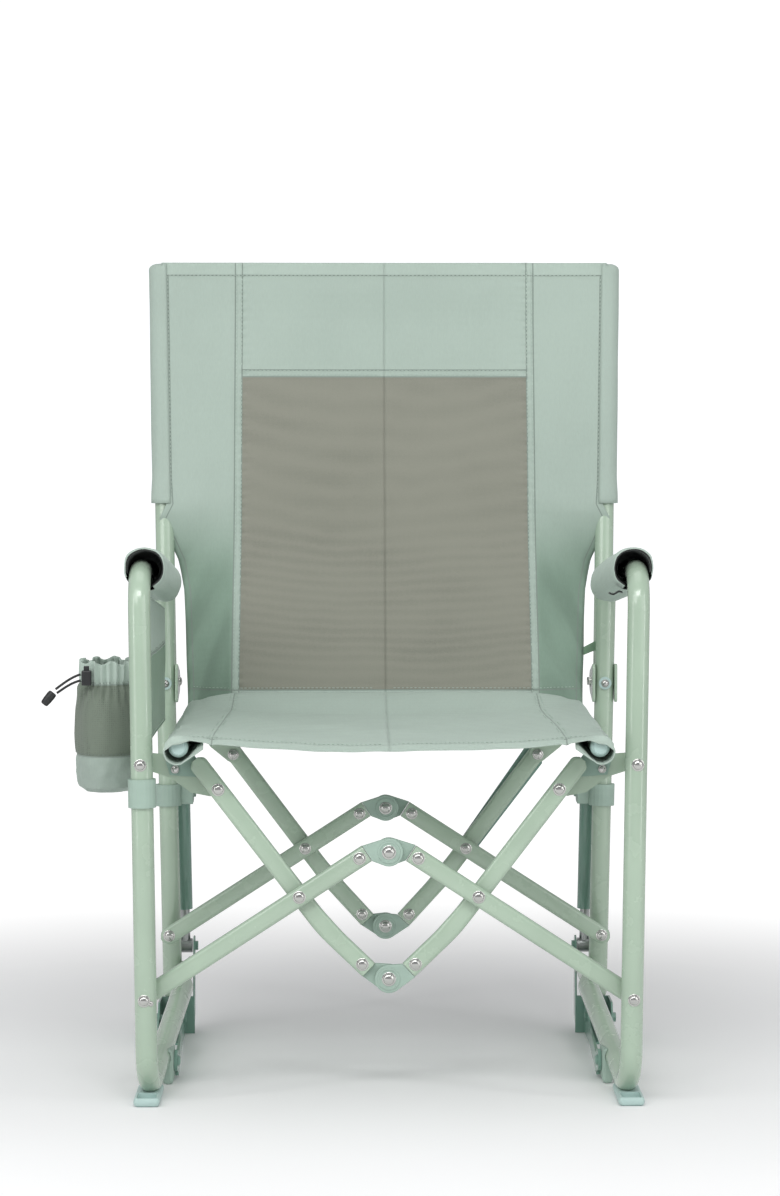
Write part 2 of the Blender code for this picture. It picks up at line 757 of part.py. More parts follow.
def hub_plate(s, side, place, spec, level):
    """Moulded hub plate: a disc on the hub with an arm to the bar's end."""
    hub = spec["hub_up"] if level == "upper" else spec["hub_lo"]
    rivet = spec["riv_up"] if level == "upper" else spec["riv_lo"]
    before = spec["outer"] if level == "upper" else spec["kink"]
    way = way_of(before, rivet)
    end = past(rivet, way, 0.0098 + GAP)
    half = 0.0103
    corners = [
        (end[0] - way.y * half, end[1] + way.x * half),
        (end[0] + way.y * half, end[1] - way.x * half),
    ]
    outline = hull_outline(circle(hub, HUB_R, 24) + corners)
    y = spec["y_low"] if level == "upper" else spec["y_steep"]
    in_front = (side == "left") == (level == "upper")
    y0 = y - BAR_T if in_front else y + 0.0002
    y1 = y - 0.0002 if in_front else y + BAR_T
    plate = slab(flipped(outline, s), y0, y1)
    if in_front:
        extra = dome((hub[0], y0, hub[1]), (0, -1, 0), radius=0.0058, height=0.0034)
    else:
        extra = rod((hub[0], y1 - 0.001, hub[1]), (hub[0], y1 + 0.0008, hub[1]), 0.0048, 6)
    name = f"{place}_{level}_hub_{side}"
    node(name, combine(plate, [extra]), PLASTIC, (hub[0], y, hub[1]))


# ---- soft parts and the pouch --------------------------------------------------------------
def seat_fabric():
    """Sling between the seat rails, slightly hollow: an open sheet made solid."""
    bm = bmesh.new()
    bmesh.ops.create_grid(bm, x_segments=16, y_segments=1, size=1.0)
    for vert in bm.verts:
        u, v = vert.co.x, vert.co.y
        y = SEAT_Y[0] + (SEAT_Y[1] - SEAT_Y[0]) * (v + 1) / 2
        flat = 1.0 if abs(u) > 0.86 else u * u
        lift = RAIL_Z + RAIL_RISE * (y - RAIL_Y0) + RAIL_R + 0.0006
        vert.co = (u * SEAT_HALF, y, lift - SEAT_SAG * (1 - flat))
    sheet = mesh_from(bm)
    settings = {"thickness": 0.0026, "offset": 1.0}
    node("seat_fabric", baked(sheet, [("SOLIDIFY", settings)]), CLOTH)


def back_fabric():
    """Sling panel in front of the back posts."""
    side_points = [(0.3045, 0.9790), (0.3058, 0.690), (0.3000, 0.667), (0.2560, 0.598)]
    side_points += [(0.2475, 0.487), (0.2460, 0.452)]
    outline = [(-a, b) for a, b in side_points] + side_points[::-1]
    mesh = slab(outline, -0.0178, -0.0150)
    lean = Matrix.Identity(4)
    lean[1][2] = BACK_LEAN
    lean[1][3] = back_y(0.0)
    mesh.transform(lean)
    node("back_fabric", mesh, CLOTH)


def pouch():
    """Bag on the outside of the left arm, open at the top: an oval cup."""
    levels = [(0.0480, 0.3500), (0.0560, 0.3560), (0.0620, 0.4050), (0.0600, 0.4550)]
    levels.append((0.0520, 0.4940))
    wall = 0.0030
    inside = [(r - wall, z) for r, z in levels[:0:-1]]
    inside.append((levels[0][0] - wall, levels[0][1] + wall))
    profile = [(0.0, levels[0][1])] + levels + inside + [(0.0, levels[0][1] + wall)]
    mesh = turned(profile, 20)
    squeeze = Matrix.Diagonal((POUCH_OVAL, 1.0, 1.0, 1.0))
    mesh.transform(Matrix.Translation((-0.3205, 0.0900, 0.0)) @ squeeze)
    node("pouch_bag", mesh, CLOTH)


def pouch_panel():
    outline = [(0.052, 0.402), (0.378, 0.402), (0.378, 0.539), (0.330, 0.5460), (0.052, 0.5710)]
    node("pouch_panel", slab(outline, -0.2746, -0.2722, "YZ"), CLOTH)


def pouch_clamp():
    """Moulded collar on the left leg below the link."""
    low = Vector((-leg_x(0.3348), 0, 0.3348))
    high = Vector((-leg_x(0.3668), 0, 0.3668))
    way = (high - low).normalized()
    ring = rod(low, high, 0.0157, 20)
    bore = rod(low - way * 0.01, high + way * 0.01, 0.0129, 20)
    node("pouch_clamp", combine(ring, [bore], "DIFFERENCE"), PLASTIC)


def cord_parts():
    lock = block((-0.3462, 0.0297, 0.4690), (-0.3352, 0.0385, 0.4860), 0.0015)
    bore = block((-0.3441, 0.0313, 0.4795), (-0.3373, 0.0369, 0.4900))
    node("cord_lock", combine(lock, [bore], "DIFFERENCE"), BLACK)
    button = block((-0.3437, 0.0317, 0.4832), (-0.3377, 0.0365, 0.4910), 0.0008)
    node("cord_button", button, BLACK, (-0.3407, 0.0341, 0.4832))
    ends = (
        ("cord_strand_upper", (-0.3470, 0.0331, 0.4815), (-0.3752, 0.0305, 0.4650)),
        ("cord_strand_lower", (-0.3470, 0.0335, 0.4745), (-0.3738, 0.0309, 0.4606)),
    )
    for name, start, end in ends:
        a = Vector(start)
        b = Vector(end)
        spots = [a, a.lerp(b, 0.35) + Vector((0, 0, 0.0015)), a.lerp(b, 0.7), b]
        node(name, wire(spots, 0.0014, 8), BLACK)
    knob = rod((-0.3778, 0.0303, 0.4612), (-0.3885, 0.0293, 0.4480), 0.0052, 14, 0.0046)
    node("cord_knob", knob, BLACK)


def rear_strap():
    """Webbing strap behind the rear right steep bar."""
    y0 = REAR["y_steep"] + BAR_T + 0.0006
    outline = [(0.0900, 0.2440), (0.1080, 0.2300), (0.1960, 0.3450), (0.1950, 0.3660)]
    outline += [(0.1750, 0.3660)]
    node("rear_strap", slab(outline, y0, y0 + 0.0022), TEAL)


def build():
    for s, side in ((-1, "left"), (1, "right")):
        side_tube(s, side)
        rear_post(s, side)
        arm_pad(s, side)
        foot_shoe(s, side)
        runner_pad(s, side)
        floor_link(s, side)
        strut_collar(s, side)
        strut_tube(s, side)
        strut_rod(s, side)
        back_bracket(s, side)
        back_post(s, side)
        leg_link(s, side)
        seat_rail(s, side)
        seat_gusset(s, side)
        rear_bracket(s, side)
        for place, spec in (("front", FRONT), ("rear", REAR)):
            low_bar(s, side, place, spec)
            steep_bar(s, side, place, spec)
            hub_plate(s, side, place, spec, "upper")
            hub_plate(s, side, place, spec, "lower")
    seat_fabric()
    back_fabric()
    pouch()
    pouch_panel()
    pouch_clamp()
    cord_parts()
    rear_strap()


build()
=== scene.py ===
"""Looks of the camp rocking chair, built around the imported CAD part."""

import math

import bmesh
import bpy
from mathutils import Matrix, Vector, noise


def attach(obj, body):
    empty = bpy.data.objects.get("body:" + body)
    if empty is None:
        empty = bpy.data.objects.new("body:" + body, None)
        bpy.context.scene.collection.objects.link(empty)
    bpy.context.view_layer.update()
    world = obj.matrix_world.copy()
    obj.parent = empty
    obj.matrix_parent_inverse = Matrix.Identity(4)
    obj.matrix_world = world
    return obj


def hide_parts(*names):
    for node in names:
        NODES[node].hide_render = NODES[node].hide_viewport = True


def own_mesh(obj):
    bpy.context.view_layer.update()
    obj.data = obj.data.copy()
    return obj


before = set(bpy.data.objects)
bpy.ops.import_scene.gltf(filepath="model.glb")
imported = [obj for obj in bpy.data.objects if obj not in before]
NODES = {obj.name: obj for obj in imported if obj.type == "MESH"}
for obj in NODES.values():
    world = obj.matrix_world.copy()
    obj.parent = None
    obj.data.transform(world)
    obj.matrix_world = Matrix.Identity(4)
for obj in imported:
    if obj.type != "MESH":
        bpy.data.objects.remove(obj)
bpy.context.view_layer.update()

# ---- dimensions shared with the part (metres, before the shift) --------------------------
SHIFT = Vector((0.0263, -0.2745, 0.0))
TUBE_R = 0.0125
POST_R = 0.012
RAIL_R = 0.011
LEG_X0, LEG_SPLAY = 0.2716, 0.0132
ARM_X, ARM_Z, ARM_DROP = 0.2795, 0.599, 0.09
ELBOW_R, FOOT_R, FOOT_Z = 0.045, 0.040, 0.0115
RUNNER_RISE, RUNNER_TOE, RUNNER_END_Y = 0.176, 0.0617, 0.4365
POST_Y, POST_X0, POST_SPLAY, POST_LOW, POST_TOP = 0.4255, 0.2658, 0.0196, 0.051, 0.585
BACK_Y, BACK_Z, BACK_TOP = 0.4545, 0.445, 0.972
BACK_LEAN, BACK_SPLAY = math.tan(math.radians(12.0)), 0.0262
RAIL_X, RAIL_Z, RAIL_RISE, RAIL_Y0, RAIL_Y1 = 0.2345, 0.4035, 0.025, -0.015, 0.3810
BAR_W, BAR_T = 0.0105, 0.006
FRONT = {
    "outer": (0.2741, 0.1187),
    "cross": (0.1010, 0.2312),
    "hub_up": (0.0, 0.2819),
    "riv_up": (0.0331, 0.2750),
    "hub_lo": (0.0, 0.1365),
    "riv_lo": (0.0300, 0.1532),
    "kink": (0.0727, 0.1942),
    "top": (0.2185, 0.3849),
    "mark": (0.1925, 0.3515),
    "y_low": 0.0205,
    "y_steep": 0.0335,
}
REAR = {
    "outer": (0.2691, 0.1322),
    "cross": (0.0999, 0.2410),
    "hub_up": (0.0, 0.2916),
    "riv_up": (0.0324, 0.2847),
    "hub_lo": (0.0, 0.1422),
    "riv_lo": (0.0293, 0.1572),
    "kink": (0.0715, 0.2033),
    "top": (0.1888, 0.3590),
    "mark": (0.1888, 0.3590),
    "y_low": 0.3910,
    "y_steep": 0.4040,
}
LEG_PIVOT = (0.2775, 0.3828)
SLEEVE_Z = 0.675
SIDES = ((-1, "left"), (1, "right"))
WHITE = 1.4  # brightness of the plain background
SEAM_X, FLAP_X, SEAM_W = 0.1815, 0.1905, 0.0016
ARM_Y0, ARM_Y1 = 0.0165, 0.3270
RUNNER_FLAT_Y = 0.352
PANEL_X, PANEL_Y0, PANEL_Y1, PANEL_LOW, PANEL_SEAM = -0.2734, 0.052, 0.378, 0.402, 0.4990
THREAD_STEP, STITCH = 0.0104, 0.0034


def leg_x(z):
    return LEG_X0 + LEG_SPLAY * z


def post_x(z):
    return POST_X0 + POST_SPLAY * z


def back_x(z):
    return post_x(BACK_Z) + BACK_SPLAY * (z - BACK_Z)


def back_y(z):
    return BACK_Y + BACK_LEAN * (z - BACK_Z)


def arm_z(y):
    return ARM_Z - ARM_DROP * (y - 0.04)


def runner_z(y):
    return FOOT_Z + RUNNER_RISE * y


def runner_x(y):
    return LEG_X0 + 0.0002 - RUNNER_TOE * y


def rail_z(y):
    return RAIL_Z + RAIL_RISE * (y - RAIL_Y0)


def ease(t):
    t = min(1.0, max(0.0, t))
    return t * t * (3 - 2 * t)


def wave(x, y, z, scale, seed=0.0):
    return noise.noise(Vector((x * scale + seed, y * scale - seed, z * scale + 2 * seed)))


# ---- camera ------------------------------------------------------------------------------
def added(name, data):
    obj = bpy.data.objects.new(name, data)
    bpy.context.scene.collection.objects.link(obj)
    return obj


def add_camera():
    data = bpy.data.cameras.new("camera")
    data.sensor_fit = "VERTICAL"
    data.sensor_height = 36.0
    data.sensor_width = 36.0 * 780 / 1196
    data.lens = 94.5
    data.clip_start = 0.05
    data.clip_end = 50
    cam = added("camera", data)
    cam.location = Vector((-0.040, -3.5, 0.715)) + SHIFT
    cam.rotation_euler = (math.radians(90 - 2.39), 0.0, math.radians(-0.67))
    bpy.context.scene.camera = cam


# ---- materials ---------------------------------------------------------------------------
class Shader:
    """A Principled material and short calls for wiring its nodes."""

    def __init__(self, name, **values):
        self.mat = bpy.data.materials.new(name)
        self.mat.use_nodes = True
        self.tree = self.mat.node_tree
        self.main = self.tree.nodes["Principled BSDF"]
        for key, value in values.items():
            self.main.inputs[key.replace("_", " ")].default_value = value
        self.coords = self.add("ShaderNodeTexCoord").outputs["Object"]

    def add(self, kind, links=(), **values):
        """A node; each value is one of its settings or, spelt with _, one of its inputs."""
        node = self.tree.nodes.new(kind)
        for key, value in values.items():
            if hasattr(node, key):
                setattr(node, key, value)
            else:
                node.inputs[key.replace("_", " ")].default_value = value
        for source, target in links:
            self.tree.links.new(source, node.inputs[target])
        return node

    def wire(self, source, target):
        self.tree.links.new(source, self.main.inputs[target])

    def mapped(self, scale):
        return self.add("ShaderNodeMapping", [(self.coords, "Vector")], Scale=scale).outputs[0]

    def noise(self, scale, detail=3.0, rough=0.5, stretch=None):
        vector = self.mapped(stretch) if stretch else self.coords
        return self.add("ShaderNodeTexNoise", [(vector, "Vector")], Scale=scale,
                        Detail=detail, Roughness=rough).outputs["Fac"]

    def math(self, operation, a, b):
        node = self.add("ShaderNodeMath", operation=operation)
        for slot, value in enumerate((a, b)):
            if isinstance(value, (int, float)):
                node.inputs[slot].default_value = value
            else:
                self.tree.links.new(value, node.inputs[slot])
        return node.outputs[0]

    def ramp(self, source, stops):
        node = self.add("ShaderNodeValToRGB", [(source, "Fac")])
        elements = node.color_ramp.elements
        while len(elements) < len(stops):
            elements.new(0.5)
        for element, (at, colour) in zip(elements, stops):
            element.position = at
            element.color = (*colour, 1.0)
        return node.outputs["Color"]

    def spread(self, source, low, high):
        return self.add("ShaderNodeMapRange", [(source, "Value")], To_Min=low,
                        To_Max=high).outputs["Result"]

    def fade(self, source, start, end):
        """0 where source is at start, 1 at end, eased between."""
        return self.add("ShaderNodeMapRange", [(source, "Value")], From_Min=start,
                        From_Max=end, interpolation_type="SMOOTHSTEP").outputs["Result"]

    def camera_ray(self):
        return self.add("ShaderNodeLightPath").outputs["Is Camera Ray"]

    def soft_edge(self, radius):
        return self.add("ShaderNodeBevel", samples=4, Radius=radius).outputs[0]

    def bump(self, height, strength, distance, under=None):
        node = self.add("ShaderNodeBump", [(height, "Height")], Strength=strength,
                        Distance=distance)
        if under is not None:
            self.tree.links.new(under, node.inputs["Normal"])
        return node.outputs["Normal"]


def near(colour, factor):
    return tuple(min(1.0, c * factor) for c in colour)


def paint(name, colour, rough):
    """Gloss powder coat: orange peel, faint colour drift, specks and softened edges."""
    s = Shader(name, Roughness=rough, Coat_Weight=0.7, Coat_Roughness=0.07)
    tone = s.ramp(s.noise(9.0, 4.0), [(0.3, near(colour, 0.93)), (0.7, near(colour, 1.05))])
    specks = s.math("GREATER_THAN", s.noise(420.0, 2.0), 0.77)
    mix = s.add("ShaderNodeMix", data_type="RGBA")
    s.tree.links.new(specks, mix.inputs[0])
    s.tree.links.new(tone, mix.inputs[6])
    mix.inputs[7].default_value = (*near(colour, 0.72), 1.0)
    s.wire(mix.outputs[2], "Base Color")
    s.wire(s.spread(s.noise(35.0, 5.0), rough - 0.06, rough + 0.10), "Roughness")
    s.wire(s.bump(s.noise(900.0, 2.0), 0.12, 0.0002, s.soft_edge(0.0006)), "Normal")
    return s.mat


def plastic(name, colour, rough=0.48):
    """Moulded plastic: fine spark texture and flow marks."""
    s = Shader(name, Roughness=rough, Specular_IOR_Level=0.45)
    flow = s.noise(24.0, 3.0, stretch=(1, 1, 3))
    s.wire(s.ramp(flow, [(0.3, near(colour, 0.94)), (0.7, near(colour, 1.05))]), "Base Color")
    s.wire(s.spread(s.noise(60.0, 4.0), rough - 0.05, rough + 0.08), "Roughness")
    s.wire(s.bump(s.noise(2600.0, 1.0), 0.25, 0.0001, s.soft_edge(0.0008)), "Normal")
    return s.mat


def metal(name, colour, rough):
    """Bare metal with a little wear."""
    s = Shader(name, Metallic=1.0, Roughness=rough)
    s.wire(s.ramp(s.noise(40.0), [(0.3, near(colour, 0.88)), (0.7, colour)]), "Base Color")
    s.wire(s.spread(s.noise(300.0, 4.0), rough - 0.08, rough + 0.12), "Roughness")
    s.wire(s.bump(s.noise(1500.0, 2.0), 0.15, 0.0001), "Normal")
    return s.mat


def weave(s, scale, depth, base):
    """Plain weave from two crossed bands; returns its height and normal."""
    bands = []
    for stretch, way in (((1, 1, 0), "X"), ((0, 1, 1), "Z")):
        node = s.add("ShaderNodeTexWave", [(s.mapped(stretch), "Vector")], bands_direction=way,
                     Scale=scale, Distortion=0.35, Detail=1.0)
        bands.append(node.outputs["Fac"])
    height = s.math("MULTIPLY", *bands)
    return height, s.bump(height, 0.5, depth, base)


def cloth(name, colour, rough=0.82, scale=210.0, painted_shade=None):
    """Coated polyester: tight weave, slubs, faint cloudiness and sheen. painted_shade is a tint of
    painted shade and the two heights between which it sets in."""
    s = Shader(name, Roughness=rough, Sheen_Weight=0.25, Sheen_Roughness=0.45)
    s.main.inputs["Sheen Tint"].default_value = (0.85, 0.95, 0.9, 1)
    slub = s.noise(160.0, 2.0, stretch=(6, 1, 1))
    both = s.math("ADD", s.math("MULTIPLY", s.noise(7.0, 5.0), 0.55),
                  s.math("MULTIPLY", slub, 0.45))
    creases = s.bump(s.noise(26.0, 6.0, 0.62), 0.35, 0.002)
    height, normal = weave(s, scale, 0.0003, creases)
    stops = [(0.30, near(colour, 0.90)), (0.62, colour), (0.85, near(colour, 1.05))]
    tone = s.ramp(s.math("ADD", s.math("MULTIPLY", height, 0.25), both), stops)
    # Painted shade: below the given heights the colour is darkened by the tint.
    if painted_shade:
        tint, high, low = painted_shade
        level = s.add("ShaderNodeSeparateXYZ", [(s.coords, 0)]).outputs["Z"]
        links = [(s.fade(level, high, low), "Fac"), (tone, "Color1")]
        mix = s.add("ShaderNodeMixRGB", links, blend_type="MULTIPLY", Color2=(*tint, 1))
        tone = mix.outputs["Color"]
    s.wire(tone, "Base Color")
    s.wire(normal, "Normal")
    return s.mat


def netting(name, thread, hole, scale):
    """Open knit mesh: rows of small holes between lighter threads."""
    s = Shader(name, Roughness=0.75, Sheen_Weight=0.1)
    cells = s.add("ShaderNodeTexVoronoi", [(s.mapped((1, 0.25, 1)), "Vector")])
    cells.inputs["Scale"].default_value = scale
    cells.inputs["Randomness"].default_value = 0.25
    ring = cells.outputs["Distance"]
    drift = s.noise(9.0, 4.0, stretch=(0.6, 1, 1.4))
    tone = s.math("ADD", s.math("MULTIPLY", ring, 0.5), s.math("MULTIPLY", drift, 0.6))
    stops = [(0.30, hole), (0.50, near(thread, 0.94)), (0.75, thread)]
    s.wire(s.ramp(tone, stops), "Base Color")
    s.wire(s.bump(ring, 0.5, 0.0005), "Normal")
    return s.mat


def make_materials():
    mint = (0.370, 0.478, 0.370)
    fabric = (0.380, 0.464, 0.408)
    return {
        "paint": paint("mint_paint", mint, 0.24),
        "teal": paint("teal_paint", (0.17, 0.31, 0.25), 0.36),
        "hub": plastic("hub_plastic", (0.330, 0.440, 0.375)),
        "blue": plastic("blue_plastic", (0.26, 0.38, 0.32), 0.42),
        "cap": plastic("cap_plastic", (0.42, 0.56, 0.53), 0.4),
        "black": plastic("black_plastic", (0.018, 0.019, 0.020), 0.4),
        "chrome": metal("chrome", (0.56, 0.56, 0.54), 0.14),
        "steel": metal("rod_steel", (0.40, 0.41, 0.41), 0.3),
        "cloth": cloth("mint_cloth", fabric),
        # The outer back flaps carry painted shade: their colour darkens towards the bottom, where
        # they turn back away from the light.
        "flap": cloth("flap_cloth_painted_shade", fabric, painted_shade=((0.56, 0.66, 0.59), 0.69, 0.56)),
        "hem": cloth("hem_cloth", near(fabric, 1.04)),
        "seam": cloth("seam_cloth", near(fabric, 0.60)),
        "side": cloth("side_cloth", (0.160, 0.265, 0.175)),
        # The pouch's bottom cloth is darker than the rest; part of this is painted shade under the
        # pouch.
        "bottom": cloth("pouch_bottom_cloth_painted_shade", near(fabric, 0.80)),
        "net": netting("back_net", (0.246, 0.250, 0.204), (0.176, 0.180, 0.146), 640.0),
        "pouch_net": netting("pouch_net", (0.150, 0.186, 0.144), (0.072, 0.090, 0.070), 420.0),
        "lining": cloth("black_lining", (0.016, 0.017, 0.017), 0.7),
        "thread": cloth("thread", near(fabric, 1.15), 0.6, 900.0),
        "dark_thread": cloth("dark_thread", near(fabric, 0.45), 0.6, 900.0),
        "cord": cloth("cord_braid", (0.014, 0.014, 0.015), 0.65, 900.0),
    }


MATS = make_materials()


# ---- mesh helpers ------------------------------------------------------------------------
def place(name, mesh, mats, body, nodes=()):
    """Puts a mesh in the part's frame, on a body, in place of its CAD nodes."""
    mesh.transform(Matrix.Translation(SHIFT))
    obj = added(name, mesh)
    for key in mats:
        mesh.materials.append(MATS[key])
    mesh.shade_smooth()
    mesh.set_sharp_from_angle(angle=math.radians(40))
    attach(obj, body)
    if nodes:
        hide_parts(*nodes)
    return obj


def mesh_of(bm, name="piece"):
    mesh = bpy.data.meshes.new(name)
    bm.to_mesh(mesh)
    bm.free()
    return mesh


def finished(bm):
    bmesh.ops.remove_doubles(bm, verts=bm.verts, dist=1e-6)
    bmesh.ops.recalc_face_normals(bm, faces=bm.faces)
    return mesh_of(bm)


def joined(meshes):
    bm = bmesh.new()
    for mesh in meshes:
        bm.from_mesh(mesh)
    return mesh_of(bm)


def fillet(points, radii, steps=14):
    path = [Vector(points[0])]
    for i in range(1, len(points) - 1):
        here = Vector(points[i])
        back = (Vector(points[i - 1]) - here).normalized()
        ahead = (Vector(points[i + 1]) - here).normalized()
        half = 0.5 * back.angle(ahead)
        reach = radii[i - 1] / math.tan(half)
        centre = here + (back + ahead).normalized() * (radii[i - 1] / math.sin(half))
        first = here + back * reach - centre
        last = here + ahead * reach - centre
        whole = first.angle(last)
        turn = first.cross(last).normalized()
        for k in range(steps + 1):
            path.append(centre + Matrix.Rotation(whole * k / steps, 3, turn) @ first)
    path.append(Vector(points[-1]))
    return path


def sweep(path, sizes, seg=40):
    """Tube along a path; sizes are (half across X, half the other way) at each point."""
    across = Vector((1, 0, 0))
    bm = bmesh.new()
    rings = []
    for i, point in enumerate(path):
        ahead = path[min(i + 1, len(path) - 1)] - path[max(i - 1, 0)]
        ahead.normalize()
        side = (across - ahead * across.dot(ahead)).normalized()
        up = ahead.cross(side)
        wide, tall = sizes[i]
        ring = []
        for k in range(seg):
            a = math.tau * k / seg
            off = side * (wide * math.cos(a)) + up * (tall * math.sin(a))
            ring.append(bm.verts.new(point + off))
        rings.append(ring)
    skin(bm, rings)
    cap(bm, rings)
    return finished(bm)


def cap(bm, rings):
    bm.faces.new(rings[0])
    bm.faces.new(rings[-1])


def skin(bm, rings, mat=0):
    """Faces between neighbouring closed rings."""
    for one, two in zip(rings, rings[1:]):
        for k in range(len(one)):
            m = (k + 1) % len(one)
            face = bm.faces.new((one[k], one[m], two[m], two[k]))
            face.material_index = mat


def round_ends(start, end, radius, inset=0.0025):
    """Path and sizes of a straight tube whose ends are rolled over."""
    way = (Vector(end) - Vector(start)).normalized()
    start, end = Vector(start), Vector(end)
    steps = ((0.0, 0.80), (0.12 * inset, 0.88), (0.4 * inset, 0.96), (inset, 1.0))
    path = [start + way * d for d, _ in steps] + [end - way * d for d, _ in steps[::-1]]
    sizes = [(radius * f, radius * f) for _, f in steps]
    return path, sizes + sizes[::-1]


def turned(base, direction, profile, seg=28):
    """Lathe a (radius, height) profile about direction from base."""
    base, direction = Vector(base), Vector(direction).normalized()
    side = direction.orthogonal().normalized()
    other = direction.cross(side)
    bm = bmesh.new()
    rings = []
    for r, h in profile:
        middle = base + direction * h
        if r <= 0:
            rings.append([bm.verts.new(middle)])
            continue
        ring = []
        for k in range(seg):
            a = math.tau * k / seg
            ring.append(bm.verts.new(middle + side * r * math.cos(a) + other * r * math.sin(a)))
        rings.append(ring)
    for one, two in zip(rings, rings[1:]):
        if len(two) == 1:
            for k in range(seg):
                bm.faces.new((one[k], one[(k + 1) % seg], two[0]))
        else:
            skin(bm, (one, two))
    bm.faces.new(rings[0])
    return finished(bm)


def rivet(base, direction, r=0.0056, h=0.0030):
    """Domed rivet with a thin washer under it."""
    lines = [(r * 1.28, -0.0006), (r * 1.28, 0.0004), (r * 1.2, 0.0007), (r, 0.0007)]
    for k in range(1, 9):
        a = math.radians(90 * k / 8)
        lines.append((r * math.cos(a) if k < 8 else 0.0, 0.0007 + (h - 0.0007) * math.sin(a)))
    return turned(base, direction, lines)


def hex_head(base, direction, r=0.0062, h=0.0042):
    """Hexagon bolt head on a round washer."""
    lines = [(r * 0.98, 0.0010), (r * 0.98, h - 0.0008), (r * 0.86, h), (0.0, h)]
    washer = turned(base, direction, [(r * 1.3, -0.0004), (r * 1.3, 0.0009), (0.0, 0.0009)])
    return joined([washer, turned(base, direction, lines, seg=6)])


def hull_outline(points):
    points = sorted(set((round(a, 6), round(b, 6)) for a, b in points))

    def half(items):
        chain = []
        for p in items:
            while len(chain) > 1 and turn_of(chain[-2], chain[-1], p) <= 0:
                chain.pop()
            chain.append(p)
        return chain[:-1]

    return half(points) + half(points[::-1])


def turn_of(a, b, c):
    return (b[0] - a[0]) * (c[1] - a[1]) - (b[1] - a[1]) * (c[0] - a[0])


def circle(centre, radius, seg=48):
    spots = []
    for k in range(seg):
        a = math.tau * k / seg
        spots.append((centre[0] + radius * math.cos(a), centre[1] + radius * math.sin(a)))
    return spots


def flipped(outline, s):
    return [(s * a, b) for a, b in outline]


def bevelled_slab(outline, y0, y1, bevel=0.0012):
    """Flat plate in XZ with rounded rims."""
    bm = bmesh.new()
    rings = []
    for level in (y0, y1):
        rings.append([bm.verts.new((a, level, b)) for a, b in outline])
    skin(bm, rings)
    cap(bm, rings)
    bmesh.ops.recalc_face_normals(bm, faces=bm.faces)
    rims = [e for e in bm.edges if abs(e.verts[0].co.y - e.verts[1].co.y) < 1e-9]
    bmesh.ops.bevel(bm, geom=rims, offset=bevel, segments=3, affect="EDGES", profile=0.6)
    return finished(bm)


# ---- frame pieces ------------------------------------------------------------------------
def side_tube(s, side):
    rear_y = POST_Y - POST_R - 0.0020
    corners = [
        (s * post_x(arm_z(rear_y)), rear_y, arm_z(rear_y)),
        (s * ARM_X, 0.0, arm_z(0.0)),
        (s * leg_x(0.0), 0.0, FOOT_Z),
        (s * runner_x(RUNNER_FLAT_Y), RUNNER_FLAT_Y, runner_z(RUNNER_FLAT_Y)),
    ]
    path = fillet(corners, [ELBOW_R, FOOT_R], 16)
    sizes = [(TUBE_R, TUBE_R)] * len(path)
    for k in range(1, 9):
        t = k / 8
        y = RUNNER_FLAT_Y + 0.032 * t
        path.append(Vector((s * runner_x(y), y, runner_z(y))))
        sizes.append((TUBE_R + (0.0048 - TUBE_R) * ease(t), TUBE_R + 0.0027 * ease(t)))
    for k in range(0, 9):
        a = math.radians(90 * k / 8)
        y = RUNNER_END_Y - 0.014 + 0.0135 * math.sin(a)
        tall = 0.0152 * max(0.25, math.cos(a))
        path.append(Vector((s * runner_x(y), y, runner_z(y))))
        sizes.append((0.0046, tall))
    place(f"{side}_frame_tube", sweep(path, sizes), ["paint"], f"{side}_frame",
          [f"{side}_side_tube"])
    heads = []
    for x, z in (FRONT["outer"], LEG_PIVOT):
        heads.append(rivet((s * x, -TUBE_R + 0.0003, z), (0, -1, 0), 0.0054, 0.0034))
    inner = runner_x(POST_Y) - 0.0047
    heads.append(hex_head((s * inner, POST_Y, runner_z(POST_Y)), (-s, 0, 0), 0.0052, 0.0036))
    if s < 0:
        heads.append(rivet((-0.2665, -0.0108, 0.1155), (0.35, -1, 0), 0.0024, 0.0016))
    place(f"{side}_frame_bolts", joined(heads), ["chrome"], f"{side}_frame")


def posts(s, side):
    low = (s * post_x(POST_LOW), POST_Y, POST_LOW)
    high = (s * post_x(POST_TOP), POST_Y, POST_TOP)
    path, sizes = round_ends(low, high, POST_R, 0.006)
    z = runner_z(POST_Y)
    tab = runner_x(POST_Y) + 0.0060
    boss = turned((s * tab, POST_Y, z), (s, 0, 0),
                  [(0.0080, 0.0), (0.0084, 0.0008), (0.0084, 0.0100)])
    x, z = REAR["outer"]
    front = REAR["y_low"] + BAR_T + 0.0004
    spacer = turned((s * x, front, z), (0, 1, 0),
                    [(0.0068, 0.0), (0.0072, 0.0006), (0.0072, 0.018)])
    body = joined([sweep(path, sizes), boss, spacer])
    place(f"{side}_rear_upright", body, ["paint"], f"{side}_frame", [f"{side}_rear_post"])
    low_z = BACK_Z - 0.010
    low = (s * back_x(low_z), back_y(low_z), low_z)
    high = (s * back_x(BACK_TOP), back_y(BACK_TOP), BACK_TOP)
    path, sizes = round_ends(low, high, 0.0119, 0.005)
    place(f"{side}_back_upright", sweep(path, sizes), ["paint"], f"{side}_back",
          [f"{side}_back_post"])


